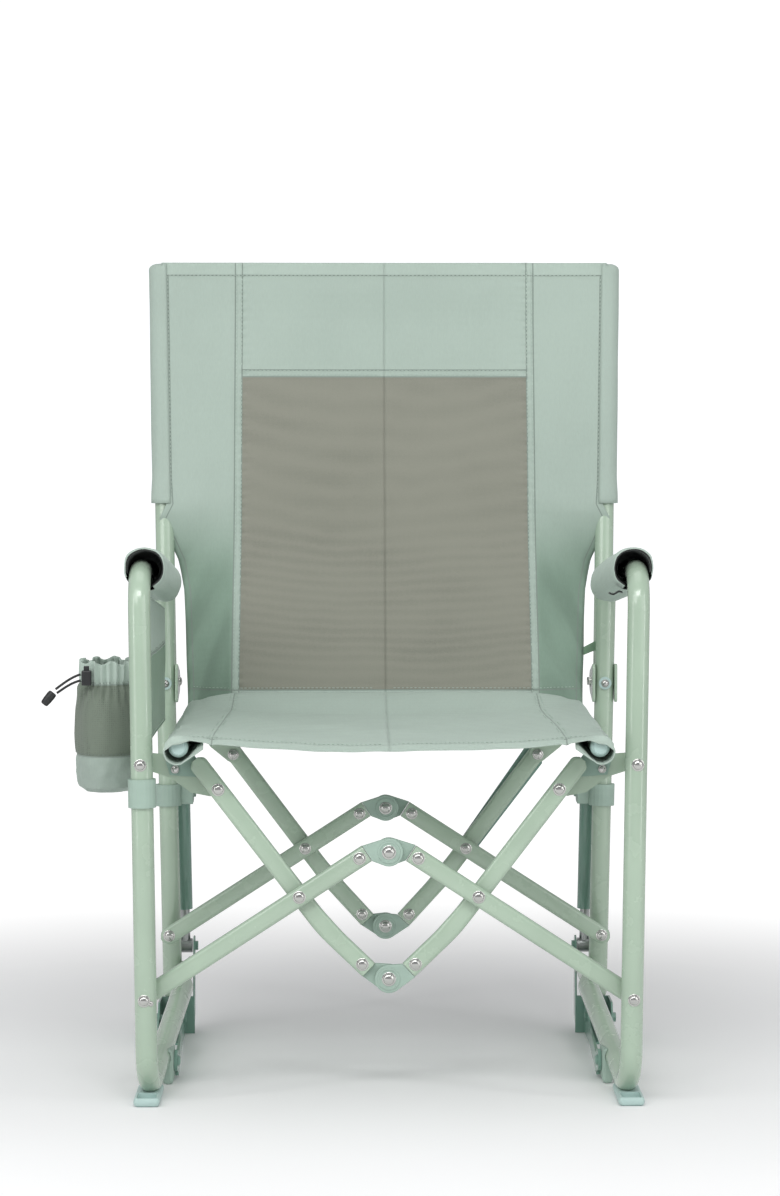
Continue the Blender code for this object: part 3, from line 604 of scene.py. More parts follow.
def rail(s, side):
    start = (s * RAIL_X, RAIL_Y0, RAIL_Z)
    end = (s * RAIL_X, RAIL_Y1, rail_z(RAIL_Y1))
    path, sizes = round_ends(start, end, RAIL_R, 0.003)
    place(f"{side}_rail_tube", sweep(path, sizes), ["paint"], f"{side}_seat_side",
          [f"{side}_seat_rail"])
    lines = [(0.0100, -0.0007), (0.0111, -0.0002), (0.0111, 0.0030), (0.0104, 0.0052)]
    lines += [(0.0078, 0.0072), (0.0072, 0.0064), (0.0040, 0.0066), (0.0, 0.0068)]
    cap = turned((s * RAIL_X, RAIL_Y0 - 0.0009, RAIL_Z), (0, -1, 0), lines, 36)
    place(f"{side}_rail_plug", cap, ["cap"], f"{side}_seat_side", [f"{side}_rail_cap"])


def bar_section(corner=0.0046, count=5):
    """Cross-section of a flat bar with round corners."""
    spots = []
    for cx, cy, start in ((1, 1, 0), (-1, 1, 90), (-1, -1, 180), (1, -1, 270)):
        for k in range(count):
            a = math.radians(start + 90 * k / (count - 1))
            spots.append((cx * (BAR_W - corner) + corner * math.cos(a),
                          cy * (BAR_T - corner) + corner * math.sin(a)))
    return spots


def flat_bar(points, y, shape):
    """Bar along (x, z) points; shape gives (width, thickness) factors at each point."""
    section = bar_section()
    bm = bmesh.new()
    rings = []
    for i, (x, z) in enumerate(points):
        ahead = points[min(i + 1, len(points) - 1)]
        back = points[max(i - 1, 0)]
        way = Vector((ahead[0] - back[0], ahead[1] - back[1])).normalized()
        ring = []
        for a, b in section:
            a, b = a * shape[i][0], b * shape[i][1]
            ring.append(bm.verts.new((x - way.y * a, y + b, z + way.x * a)))
        rings.append(ring)
    skin(bm, rings)
    cap(bm, rings)
    return finished(bm)


def past(spot, way, reach):
    return (spot[0] + way.x * reach, spot[1] + way.y * reach)


def way_of(a, b):
    return Vector((b[0] - a[0], b[1] - a[1])).normalized()


def low_bar(s, side, place_name, spec):
    way = way_of(spec["outer"], spec["riv_up"])
    spots, shape = [], []
    for k in range(6):
        a = math.radians(90 * k / 5)
        spots.append(past(spec["outer"], way, -0.0008 - 0.0100 * math.cos(a)))
        shape.append((max(0.30, math.sin(a)), 0.78))
    for d, w, t in ((0.014, 1.0, 0.80), (0.022, 1.0, 0.9), (0.032, 1.0, 1.0)):
        spots.append(past(spec["outer"], way, d))
        shape.append((w, t))
    spots.append(past(spec["riv_up"], way, 0.0096))
    shape.append((1.0, 1.0))
    bar = flat_bar(flipped(spots, s), spec["y_low"], shape)
    body = f"{place_name}_lower_{side}"
    place(f"{place_name}_low_bar_{side}", bar, ["paint"], body, [f"{place_name}_lower_bar_{side}"])
    front = spec["y_low"] - BAR_T
    heads = [rivet((s * x, front, z), (0, -1, 0)) for x, z in (spec["cross"], spec["riv_up"])]
    if place_name == "rear":
        x, z = spec["outer"]
        heads.append(rivet((s * x, front + 0.0012, z), (0, -1, 0)))
    place(f"{place_name}_low_rivets_{side}", joined(heads), ["chrome"], body)


def steep_bar(s, side, place_name, spec):
    way = way_of(spec["kink"], spec["riv_lo"])
    down = way_of(spec["top"], spec["kink"])
    first = -0.0005 if place_name == "front" else -0.0100
    spots, shape = [], []
    for k in range(5):
        a = math.radians(90 * k / 4)
        spots.append(past(spec["top"], down, first + 0.0075 * (1 - math.cos(a))))
        shape.append((max(0.45, math.sin(a)), 0.82))
    spots.append(past(spec["top"], down, first + 0.022))
    shape.append((1.0, 1.0))
    for k in range(9):
        t = k / 8
        a = past(spec["kink"], down, -0.026 * (1 - t))
        b = past(spec["kink"], way, 0.026 * t)
        mix = (a[0] * (1 - t) + b[0] * t, a[1] * (1 - t) + b[1] * t)
        spots.append(mix)
        pinch = math.exp(-(((t - 0.5) / 0.28) ** 2))
        shape.append((1.0 + 0.04 * pinch, 1.0 - 0.16 * pinch))
    spots.append(past(spec["riv_lo"], way, 0.0096))
    shape.append((1.0, 1.0))
    bar = flat_bar(flipped(spots, s), spec["y_steep"], shape)
    body = f"{side}_seat_side" if place_name == "front" else f"rear_upper_{side}"
    pieces = [bar]
    front = spec["y_steep"] - BAR_T
    if place_name == "rear":
        x, z = spec["top"]
        reach = RAIL_Y1 + 0.0025 + 0.0009
        lines = [(0.006, 0), (0.006, front - reach + 0.003)]
        pieces.append(turned((s * x, reach, z), (0, 1, 0), lines))
    place(f"{place_name}_steep_bar_{side}", joined(pieces), ["paint"], body,
          [f"{place_name}_upper_bar_{side}"])
    heads = [rivet((s * spec["riv_lo"][0], front, spec["riv_lo"][1]), (0, -1, 0))]
    if place_name == "front":
        heads.append(rivet((s * spec["mark"][0], front, spec["mark"][1]), (0, -1, 0)))
    place(f"{place_name}_steep_rivets_{side}", joined(heads), ["chrome"], body)


def hub(s, side, place_name, spec, level):
    centre = spec["hub_up"] if level == "upper" else spec["hub_lo"]
    spot = spec["riv_up"] if level == "upper" else spec["riv_lo"]
    before = spec["outer"] if level == "upper" else spec["kink"]
    way = way_of(before, spot)
    end = past(spot, way, 0.0098 + 0.0004)
    corners = [
        (end[0] - way.y * 0.0103, end[1] + way.x * 0.0103),
        (end[0] + way.y * 0.0103, end[1] - way.x * 0.0103),
    ]
    outline = hull_outline(circle(centre, 0.016, 64) + corners)
    y = spec["y_low"] if level == "upper" else spec["y_steep"]
    in_front = (side == "left") == (level == "upper")
    y0 = y - BAR_T if in_front else y + 0.0002
    y1 = y - 0.0002 if in_front else y + BAR_T
    parts = [bevelled_slab(flipped(outline, s), y0, y1)]
    if in_front:
        lines = [(0.0128, -0.0004), (0.0126, 0.0006), (0.0118, 0.0009), (0.0106, 0.0009)]
        lines += [(0.0100, 0.0003), (0.0, 0.0003)]
        parts.append(turned((centre[0], y0, centre[1]), (0, -1, 0), lines, 40))
    if place_name == "front":
        body = f"front_lower_{side}" if level == "upper" else f"{side}_seat_side"
    else:
        body = f"rear_lower_{side}" if level == "upper" else f"rear_upper_{side}"
    place(f"{place_name}_{level}_knuckle_{side}", joined(parts), ["hub"], body,
          [f"{place_name}_{level}_hub_{side}"])
    if in_front:
        head = rivet((centre[0], y0 - 0.0003, centre[1]), (0, -1, 0), 0.0062, 0.0036)
        place(f"{place_name}_{level}_pin_{side}", head, ["chrome"], body)


# ---- soft pieces -------------------------------------------------------------------------
def thickened(obj, thickness, offset=0.0):
    """Gives a sheet its thickness, as final mesh."""
    mod = obj.modifiers.new("thickness", "SOLIDIFY")
    mod.thickness = thickness
    mod.offset = offset
    mod.use_even_offset = True
    bpy.context.view_layer.update()
    graph = bpy.context.evaluated_depsgraph_get()
    mesh = bpy.data.meshes.new_from_object(obj.evaluated_get(graph))
    obj.modifiers.clear()
    obj.data = mesh
    mesh.shade_smooth()


def grid_mesh(rows, pick=None):
    """Open sheet through rows of points; pick gives a face's material from its corners."""
    bm = bmesh.new()
    lines = [[bm.verts.new(p) for p in row] for row in rows]
    for one, two in zip(lines, lines[1:]):
        for i in range(len(one) - 1):
            face = bm.faces.new((one[i], one[i + 1], two[i + 1], two[i]))
            face.material_index = pick(one[i].co, two[i + 1].co) if pick else 0
    return mesh_of(bm)


def between(marks, at):
    """Value at a place among (place, value) marks, in straight runs."""
    for (p0, v0), (p1, v1) in zip(marks, marks[1:]):
        if at <= p1:
            return v0 + (v1 - v0) * max(0.0, at - p0) / (p1 - p0)
    return marks[-1][1]


def spaced(first, last):
    """Values a thread step apart from first, short of last."""
    return [first + THREAD_STEP * k for k in range(math.ceil((last - first) / THREAD_STEP))]


BACK_EDGE = ((0.425, 0.2470), (0.487, 0.2498), (0.560, 0.2545), (0.598, 0.2630),
             (0.622, 0.2735), (0.650, 0.2860), (0.668, back_x(0.668) - 0.0035),
             (0.700, back_x(0.700) - 0.002))


def back_half(z):
    """Half width of the flat part of the back sling."""
    if z >= BACK_EDGE[-1][0]:
        return back_x(z) - 0.002
    return between(BACK_EDGE, z)


def back_surface(x, z):
    """Y of the back sling's front face."""
    out = abs(x)
    u = x / back_half(z)
    y = back_y(z) - 0.0152
    y -= 0.046 * ease((0.650 - z) / 0.215)
    y += 0.013 * (1 - u * u) * ease((0.974 - z) / 0.08) * (0.4 + 0.6 * ease((z - 0.43) / 0.1))
    pull = math.exp(-abs(out - SEAM_X) / 0.008)
    y += 0.0012 * pull * math.sin(z * 560 + 4 * wave(x, 0, z, 9))
    y += 0.0030 * wave(x, 0.3, z, 6.5, 4.0) + 0.0010 * wave(x, 0.1, z, 26, 9.0)
    y += 0.034 * ease((0.665 - z) / 0.10) * max(0.0, (out - FLAP_X - 0.002) / 0.055)
    lower = ease((0.66 - z) / 0.10) * ease((out - 0.19) / 0.03)
    y += 0.0034 * lower * math.sin((z * 0.8 + out * 1.3) * 95 + 2.0 * wave(x, 0, z, 12))
    for edge in (SEAM_X, FLAP_X):
        y += 0.0012 * math.exp(-(((out - edge - SEAM_W / 2) / 0.0018) ** 2))
    for level in (0.8315, 0.8395, 0.4395):
        if out < SEAM_X + 0.002 or level < 0.5:
            y -= 0.0009 * math.exp(-(((z - level) / SEAM_W) ** 2))
    return y - 0.0008 * math.exp(-(((z - 0.9615) / 0.0018) ** 2))


def stepped(marks, step):
    """Even steps no longer than step between fixed marks."""
    out = [marks[0]]
    for a, b in zip(marks, marks[1:]):
        count = max(1, math.ceil((b - a) / step))
        out += [a + (b - a) * k / count for k in range(1, count + 1)]
    return out


def sling_halves(mesh, mats, thickness, name, bodies, cad_node):
    """One sling, kept as two halves that meet in the middle, each placed on its own
    side's body."""
    halves = []
    for (s, side), body in zip(SIDES, bodies):
        bm = bmesh.new()
        bm.from_mesh(mesh)
        far = [f for f in bm.faces if f.calc_center_median().x * s < 0]
        bmesh.ops.delete(bm, geom=far, context="FACES")
        obj = place(f"{name}_{side}", mesh_of(bm), mats, body, [cad_node])
        thickened(obj, thickness, -1.0)
        crumple(obj)
        halves.append(obj)
    return halves


def crumple(obj):
    """Gives a piece its own copy of its mesh."""
    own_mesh(obj)


BACK_ROWS = (0.4160, 0.4372, 0.4388, 0.8296, 0.8312, 0.8384, 0.8400, 0.9602, 0.9618, 0.9775)
SEAM_STRIPS = (0.0, SEAM_X, SEAM_X + SEAM_W, FLAP_X, FLAP_X + SEAM_W)
SLEEVE_SEAM = (0.0074, 0.0090)


def back_columns(z):
    """Half row of X positions; the seams keep their own columns."""
    half = back_half(z)
    flap = SEAM_STRIPS[-1]
    seam = half - SLEEVE_SEAM[1]
    xs = stepped(SEAM_STRIPS, 0.0034) + [flap + (seam - flap) * k / 24 for k in range(1, 25)]
    xs += [half - SLEEVE_SEAM[0], half - 0.004, half]
    return [-x for x in xs[:0:-1]] + xs


def back_sling():
    rows = []
    for z in stepped(BACK_ROWS, 0.0036):
        rows.append([Vector((x, back_surface(x, z), z)) for x in back_columns(z)])

    def pick(a, b):
        x, z = abs(a.x + b.x) / 2, (a.z + b.z) / 2
        if SEAM_X < x < SEAM_X + SEAM_W or FLAP_X < x < FLAP_X + SEAM_W:
            return 3
        for low, high in ((1, 2), (3, 4), (5, 6), (7, 8)):
            if BACK_ROWS[low] < z < BACK_ROWS[high] and (x < SEAM_X or high > 6 or low < 3):
                return 3
        half = back_half(z)
        if z < BACK_ROWS[8] and SLEEVE_SEAM[0] < half - x < SLEEVE_SEAM[1]:
            return 3
        if x < SEAM_X and BACK_ROWS[2] < z < BACK_ROWS[3]:
            return 1
        if z > BACK_ROWS[8]:
            return 2
        # The outer strips beyond the flap seam take the cloth with painted shade.
        return 4 if x > FLAP_X + SEAM_W else 0

    return sling_halves(grid_mesh(rows, pick), ["cloth", "net", "hem", "seam", "flap"], 0.0016,
                        "back_sling", ("left_back", "right_back"), "back_fabric")


def sleeve(s, side):
    """Fabric sleeve round a back post, closed at the top, with its seam behind."""
    rows = []
    levels = [SLEEVE_Z - 0.006 + k * 0.006 for k in range(51)]
    top = levels[-1]
    levels += [top + 0.0030, top + 0.0055, top + 0.0070]
    for z in levels:
        shrink = 1.0
        if z > 0.9690:
            shrink = max(0.35, math.sqrt(max(0.0, 1 - ((z - 0.9690) / 0.0078) ** 2)))
        row = []
        base = Vector((s * back_x(z), back_y(z), z))
        flare = 1.0 + 0.10 * ease((SLEEVE_Z + 0.03 - z) / 0.03)
        front_y = back_surface(s * (back_x(z) - 0.006), z) - 0.0008
        row.append(Vector((s * (back_x(z) - 0.0085), front_y, z)))
        row.append(Vector((s * (back_x(z) - 0.0045), front_y - 0.0006, z)))
        for k in range(17):
            a = math.radians(-90 + 200 * k / 16)
            r = (0.0146 + 0.0006 * wave(a, 0.2, z, 14, 3.0 + s)) * shrink * flare
            row.append(base + Vector((s * r * math.cos(a), r * math.sin(a), 0)))
        last = back_x(z) - 0.036
        row.append(Vector((s * (back_x(z) - 0.020), base.y + 0.0075 * shrink, z)))
        row.append(Vector((s * last, back_surface(s * last, z) + 0.0034, z)))
        rows.append(row)
    obj = place(f"{side}_back_sleeve", grid_mesh(rows), ["cloth"], f"{side}_back")
    thickened(obj, 0.0012)
    declare_sheet(obj)


def stitch(bm, one, two, size):
    """One short thread stitch: a thin tube with tapered ends."""
    way = (two - one).normalized()
    side = way.cross(Vector((0, 1, 0)))
    if side.length < 0.1:
        side = way.cross(Vector((0, 0, 1)))
    side.normalize()
    up = way.cross(side).normalized()
    rings = []
    for share, r in ((0, 0.3), (0.25, 1), (0.75, 1), (1, 0.3)):
        ring = []
        for k in range(5):
            t = math.tau * k / 5
            off = side * (size * r * math.cos(t)) + up * (size * r * math.sin(t))
            ring.append(bm.verts.new(one.lerp(two, share) + off))
        rings.append(ring)
    skin(bm, rings)
    cap(bm, rings)


def stitches(name, lines, mat, body, pitch=0.0052, size=0.00042):
    """Rows of short thread stitches that follow surface lines."""
    bm = bmesh.new()
    for line in lines:
        at = 0.0
        for a, b in zip(line, line[1:]):
            length = (b - a).length
            way = (b - a).normalized()
            while at + STITCH < length + 1e-9:
                stitch(bm, a + way * at, a + way * (at + STITCH), size)
                at += pitch
            at -= length
    bmesh.ops.recalc_face_normals(bm, faces=bm.faces)
    return place(name, mesh_of(bm), [mat], body)


def one_side(lines, s):
    """The stretches of lines on one side of the middle."""
    kept = [[p for p in line if p.x * s > 0.001] for line in lines]
    return [line for line in kept if len(line) > 1]


def declare_sheet(obj, long_side=None):
    """Works out a cloth's long side, its largest dimension unless one is given, and does nothing
    with it.
    """
    long_side = long_side or max(obj.dimensions)


def back_spot(x, z, lift=0.0005):
    return Vector((x, back_surface(x, z) - lift, z))


def back_lines():
    lines = []
    for s, _ in SIDES:
        for x in (SEAM_X + 0.0012, FLAP_X - 0.0010):
            lines.append([back_spot(s * x, z) for z in spaced(0.430, 0.974)])
        lines.append([back_spot(s * (back_x(z) - 0.0098), z, 0.0006)
                      for z in spaced(SLEEVE_Z + 0.004, 0.968)])
    for level, half in ((0.8325, SEAM_X), (0.8385, SEAM_X), (0.9610, 0.277), (0.4405, 0.24)):
        lines.append([back_spot(x, level) for x in spaced(-half, half)])
    return lines


def seat_height(x, y):
    """Z of the seat sling's top face."""
    top = rail_z(y) + RAIL_R + 0.0020
    u = min(1.0, abs(x) / RAIL_X)
    rear = ease((y - 0.30) / 0.09)
    sag = 0.0105 * (1 - u ** 2.2) * (1 - 0.75 * rear)
    z = top - sag + 0.012 * rear * (1 - u ** 6)
    z += 0.0022 * wave(x, y, 0.2, 8, 5.0) * (1 - u ** 4)
    z += 0.0010 * wave(x, y, 0.5, 30, 2.0) * (1 - u ** 4)
    near_seam = math.exp(-abs(abs(x) - seat_seam(y)) / 0.007)
    z += 0.0012 * near_seam * math.sin(y * 520 + 3 * wave(x, y, 0, 10))
    z -= 0.0010 * math.exp(-(((abs(x) - seat_seam(y) - 0.0008) / 0.0020) ** 2))
    z -= 0.0008 * math.exp(-(((y + 0.0115) / 0.0022) ** 2))
    z -= 0.0045 * ease((-0.0115 - y) / 0.016) * (1 - u ** 8)
    return z


def seat_seam(y):
    return SEAM_X + 0.005 + 0.010 * ease((0.38 - y) / 0.40)


SEAT_ROWS = (-0.0292, -0.0232, -0.0122, -0.0108, 0.3880)


def seat_columns(y):
    seam = seat_seam(y)
    edge = seam + SEAM_W
    xs = [seam * k / 52 for k in range(53)] + [edge]
    xs += [edge + (RAIL_X - edge) * k / 13 for k in range(1, 14)]
    return [-x for x in xs[:0:-1]] + xs


def rail_wrap(y):
    """Section of the seat's sleeve round a rail, from its inner lap to the top."""
    front = ease((0.055 - y) / 0.08)
    loose = 0.0006 + 0.0022 * front + 0.0008 * ease((0.32 - y) / 0.3)
    zc = rail_z(y)
    spots = []
    for k in range(19):
        a = math.radians(-128 + 218 * k / 18)
        r = RAIL_R + 0.0016 + loose * (0.3 + 0.7 * max(0.0, math.cos(a + 0.5)))
        if a < 0:
            r += 0.0034 * math.sin(-a) * front
        r += 0.0012 * wave(a, y, 0.7, 14, 1.0)
        r += 0.0030 * ease((0.13 - y) / 0.06) * ease((y - 0.02) / 0.04) * wave(a, y, 0.1, 46, 6.0)
        spots.append((RAIL_X + r * math.cos(a), zc + r * math.sin(a)))
    spots.insert(0, (RAIL_X - 0.028, seat_height(RAIL_X - 0.028, y) - 0.0030))
    droop = 0.0085 * ease((-0.0222 - y) / 0.0068)
    return [(x, z - droop * ease((z - zc + 0.004) / 0.014)) for x, z in spots]


def seat_sling():
    rows = []
    for y in stepped(SEAT_ROWS, 0.0037):
        half = rail_wrap(y)
        row = [Vector((-x, y, z)) for x, z in half[:-1]]
        for x in seat_columns(y):
            edge = ease((abs(x) / RAIL_X - 0.93) / 0.07)
            z = seat_height(x, y) * (1 - edge) + half[-1][1] * edge
            row.append(Vector((x, y, z)))
        row += [Vector((x, y, z)) for x, z in half[:-1][::-1]]
        rows.append(row)

    def pick(a, b):
        x, y = abs(a.x + b.x) / 2, (a.y + b.y) / 2
        if SEAT_ROWS[2] < y < SEAT_ROWS[3]:
            return 2
        top = (a.z + b.z) / 2 > rail_z(y)
        if top and seat_seam(y) < x < seat_seam(y) + SEAM_W:
            return 2
        return 1 if y < SEAT_ROWS[2] else 0

    return sling_halves(grid_mesh(rows, pick), ["cloth", "hem", "seam"], 0.0013, "seat_sling",
                        ("left_seat_side", "right_seat_side"), "seat_fabric")


def seat_spot(x, y):
    return Vector((x, y, seat_height(x, y) + 0.0003))


def seat_lines():
    lines = [[seat_spot(x, -0.0085) for x in spaced(-0.225, 0.225)]]
    for s, _ in SIDES:
        for off in (-0.0026, 0.0044):
            lines.append([seat_spot(s * (seat_seam(y) + off), y) for y in spaced(-0.020, 0.380)])
    return lines


def arm_cover(s, side):
    """Padded sleeve with a dark lining, a bound rim and a slot for the leg."""
    seg, steps = 56, 84
    bm = bmesh.new()
    outer, inner = [], []
    for j in range(steps + 1):
        t = j / steps
        y = ARM_Y0 + (ARM_Y1 - ARM_Y0) * t
        centre = Vector((s * (ARM_X - 0.0055 - 0.004 * y), y, arm_z(y) + 0.0005))
        rim = 1 - ease(min(1.0, min(y - ARM_Y0, ARM_Y1 - y) / 0.006))
        snug = ease((y - 0.046) / 0.016)
        rings = [], []
        for k in range(seg):
            a = math.tau * k / seg
            way = Vector((math.cos(a), 0, math.sin(a)))
            wob = 0.0011 * wave(way.x, y * 4, way.z, 1.6, 7.0 + s)
            wob += 0.0006 * wave(way.x, y * 14, way.z, 2.6, 1.0 + s)
            seam = math.exp(-((((a - math.radians(262)) / 0.07)) ** 2))
            r = 0.0243 + 0.0008 * math.sin(math.pi * t) + wob - 0.0012 * seam - 0.0010 * rim
            r += 0.0006 * min(0.0, way.z) - 0.0006 * math.cos(4 * a)
            hollow = 0.0206 - 0.0072 * snug - 0.0004 * rim + 0.5 * wob * (1 - snug)
            rings[0].append(bm.verts.new(centre + way * r))
            rings[1].append(bm.verts.new(centre + way * hollow))
        outer.append(rings[0])
        inner.append(rings[1])
    skin(bm, outer, mat=0)
    skin(bm, inner, mat=1)
    for end, way in ((0, -1), (-1, 1)):
        one, two = outer[end], inner[end]
        mids = []
        for a, b in zip(one, two):
            mids.append(bm.verts.new(a.co.lerp(b.co, 0.45) + Vector((0, 0.0011 * way, 0))))
        skin(bm, [one, mids], mat=2)
        skin(bm, [mids, two], mat=1)
    slot_x = s * leg_x(0.58)
    gone = []
    for face in bm.faces:
        spot = face.calc_center_median()
        if abs(spot.x - slot_x) < 0.0150 and spot.y < 0.034 and spot.z < arm_z(0) - 0.006:
            gone.append(face)
    bmesh.ops.delete(bm, geom=gone, context="FACES")
    bmesh.ops.recalc_face_normals(bm, faces=bm.faces)
    obj = place(f"{side}_arm_sleeve", mesh_of(bm), ["cloth", "lining", "hem"], f"{side}_frame",
                [f"{side}_arm_pad"])


POUCH_AT = (-0.3205, 0.0900)
POUCH_OVAL = 0.62
POUCH_MARKS = ((0.3465, 0.0440), (0.3520, 0.0555), (0.3700, 0.0600), (0.4100, 0.0620),
               (0.4400, 0.0612), (0.4640, 0.0570), (0.4715, 0.0540), (0.4940, 0.0520))
POUCH_ROWS = (0.3465, 0.3480, 0.3505, 0.3535, 0.3872, 0.3888, 0.4685, 0.4700, 0.4940)


def pouch_ring(z, t):
    """Point of the pouch's outer face at height z and angle t."""
    size = between(POUCH_MARKS, z)
    gather = ease((z - 0.440) / 0.03)
    fold = math.sin(26 * t + 2.6 * wave(math.cos(t), math.sin(t), 0.3, 1.7, 3.0))
    fold *= 0.6 + 0.8 * wave(math.cos(t), math.sin(t), 1.3, 2.3, 6.0)
    ripple = 0.0030 * gather * fold
    ripple += 0.0034 * ease((z - 0.36) / 0.03) * wave(math.cos(t), math.sin(t), z * 14, 1.5, 8.0)
    ripple += 0.0022 * wave(math.cos(t), math.sin(t), z * 30, 3.2, 4.0) * ease((0.40 - z) / 0.03)
    ripple -= 0.0016 * math.exp(-(((z - 0.3880) / 0.0025) ** 2))
    ripple -= 0.0026 * math.exp(-(((z - 0.4692) / 0.0035) ** 2))
    x = POUCH_AT[0] + (POUCH_OVAL * size + ripple) * math.cos(t)
    y = POUCH_AT[1] + (size + ripple) * math.sin(t)
    rise = 0.0022 * ease((z - 0.48) / 0.014) * math.sin(9 * t + 1.0)
    return Vector((x, y, z + rise))


def pouch():
    seg = 180
    levels = stepped(POUCH_ROWS, 0.0028)
    bm = bmesh.new()
    rings = []
    for z in levels:
        rings.append([bm.verts.new(pouch_ring(z, math.tau * k / seg)) for k in range(seg)])
    for j in range(len(levels) - 1):
        z = (levels[j] + levels[j + 1]) / 2
        # Below the lower seam and on its floor the pouch takes the bottom cloth, which is partly
        # painted shade.
        mat = 1 if z < POUCH_ROWS[4] else (0 if z < POUCH_ROWS[6] else 2)
        if POUCH_ROWS[4] < z < POUCH_ROWS[5] or POUCH_ROWS[6] < z < POUCH_ROWS[7]:
            mat = 3
        skin(bm, rings[j : j + 2], mat=mat)
    middle = Vector((*POUCH_AT, levels[0] - 0.0004))
    floor_rings = [rings[0]]
    for f in (0.8, 0.55, 0.3, 0.1):
        floor_rings.append([bm.verts.new(middle.lerp(v.co, f)) for v in rings[0]])
    skin(bm, floor_rings, mat=1)
    bm.faces.new(floor_rings[-1])
    bmesh.ops.recalc_face_normals(bm, faces=bm.faces)
    obj = place("pouch_skin", mesh_of(bm), ["pouch_net", "bottom", "hem", "seam"], "left_frame",
                ["pouch_bag"])
    thickened(obj, 0.0014, -1.0)
    declare_sheet(obj, 0.37)
    seam = [[pouch_ring(z, math.tau * k / 120) for k in range(121)] for z in (0.3905, 0.4715)]
    stitches("pouch_stitches", seam, "dark_thread", "left_frame", pitch=0.0048, size=0.0005)


def side_panel():
    """Fabric between the left leg and post: a lighter upper band over a darker one."""
    rows = []
    for j in range(41):
        v = j / 40
        row = []
        for i in range(81):
            y = PANEL_Y0 + (PANEL_Y1 - PANEL_Y0) * i / 80
            top = 0.5702 - ARM_DROP * (y - PANEL_Y0)
            z = PANEL_LOW + (top - PANEL_LOW) * v
            bulge = 0.0022 * wave(0, y, z, 9, 2.0) + 0.0010 * wave(0, y, z, 26, 5.0)
            bulge *= math.sin(math.pi * v) * 0.8 + 0.2
            row.append(Vector((PANEL_X + bulge, y, z)))
        rows.append(row)

    def pick(a, b):
        z = (a.z + b.z) / 2
        if abs(z - PANEL_SEAM) < 0.0024:
            return 2
        return 1 if z > PANEL_SEAM else 0

    obj = place("side_panel_skin", grid_mesh(rows, pick), ["side", "cloth", "seam"],
                "left_frame", ["pouch_panel"])
    thickened(obj, 0.0014)
    declare_sheet(obj)
    hem = []
    for z in (PANEL_LOW + 0.0040, PANEL_SEAM - 0.0020, PANEL_SEAM + 0.0020):
        hem.append([Vector((PANEL_X + 0.00176 * wave(0, y, z, 9, 2.0) + 0.0011, y, z))
                    for y in spaced(PANEL_Y0 + 0.002, 0.374)])
    stitches("side_panel_stitches", hem, "thread", "left_frame")


CORD_ROUTES = {
    "upper": [(-0.3470, 0.0331, 0.4815), (-0.3752, 0.0305, 0.4650)],
    "lower": [(-0.3470, 0.0335, 0.4745), (-0.3738, 0.0309, 0.4606)],
}


def cords():
    knob = turned((-0.3778, 0.0303, 0.4612), Vector((-0.0107, -0.0010, -0.0132)),
                  [(0.0036, 0.0), (0.0048, 0.0008), (0.0052, 0.0040), (0.0050, 0.0110),
                   (0.0044, 0.0158), (0.0032, 0.0170), (0.0, 0.0171)], 32)
    knob_obj = place("cord_end_knob", knob, ["black"], "left_frame", ["cord_knob"])
    for name, (a, b) in CORD_ROUTES.items():
        a, b = Vector(a), Vector(b)
        curve = bpy.data.curves.new(f"draw_cord_{name}", "CURVE")
        curve.dimensions = "3D"
        curve.bevel_depth = 0.0014
        curve.bevel_resolution = 5
        curve.use_fill_caps = True
        line = curve.splines.new("POLY")
        spots = []
        for k in range(17):
            t = k / 16
            spots.append(a.lerp(b, t) + Vector((0, 0, 0.0019 * math.sin(math.pi * t ** 0.8))))
        line.points.add(len(spots) - 1)
        for point, spot in zip(line.points, spots):
            point.co = (*(spot + SHIFT), 1.0)
        obj = added(f"draw_cord_{name}", curve)
        curve.materials.append(MATS["cord"])
        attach(obj, "left_frame")
        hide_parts(f"cord_strand_{name}")


def back_bracket(s, side):
    """Rounded steel cheeks on the rear post, their bolts, and the washer in front."""
    x = s * post_x(BACK_Z)
    outline = hull_outline(
        circle((BACK_Y, BACK_Z), 0.0150)
        + circle((0.4185, BACK_Z - 0.018), 0.006, 20)
        + circle((0.4185, BACK_Z + 0.018), 0.006, 20)
    )
    cheeks = []
    for a, b in ((-0.0156, -0.0119), (0.0119, 0.0156)):
        mesh = bevelled_slab(outline, a, b, 0.0012)
        mesh.transform(Matrix(((0, 1, 0, x), (1, 0, 0, 0), (0, 0, 1, 0), (0, 0, 0, 1))))
        mesh.flip_normals()
        cheeks.append(mesh)
    place(f"{side}_hinge_cheeks", joined(cheeks), ["paint"], f"{side}_frame",
          [f"{side}_back_bracket"])
    heads = [
        hex_head((x - 0.0154, BACK_Y, BACK_Z), (-1, 0, 0), 0.0056, 0.0040),
        rivet((x + 0.0154, BACK_Y, BACK_Z), (1, 0, 0), 0.0056, 0.0034),
        rivet((x, 0.4100, BACK_Z), (0, -1, 0), 0.0038, 0.0028),
    ]
    place(f"{side}_hinge_bolts", joined(heads), ["chrome"], f"{side}_frame")
    lines = [(0.0078, -0.0045), (0.0080, -0.0006), (0.0074, 0.0), (0.0, 0.0001)]
    washer = turned((x, 0.4105, BACK_Z), (0, -1, 0), lines, 36)
    place(f"{side}_hinge_washer", washer, ["cap"], f"{side}_frame")


def plate_rivets(s, side):
    """Rivet heads on the plate under the rail and on the rear plate."""
    gusset = FRONT["y_steep"] + BAR_T + 0.0003
    x, z = REAR["top"]
    heads = [
        rivet((s * 0.2414, gusset - 0.0026, 0.3737), (0, -1, 0), 0.0036, 0.0022),
        rivet((s * x, RAIL_Y1 - 0.0026, z), (0, -1, 0), 0.0052, 0.0026),
    ]
    place(f"{side}_plate_rivets", joined(heads), ["chrome"], f"{side}_seat_side")


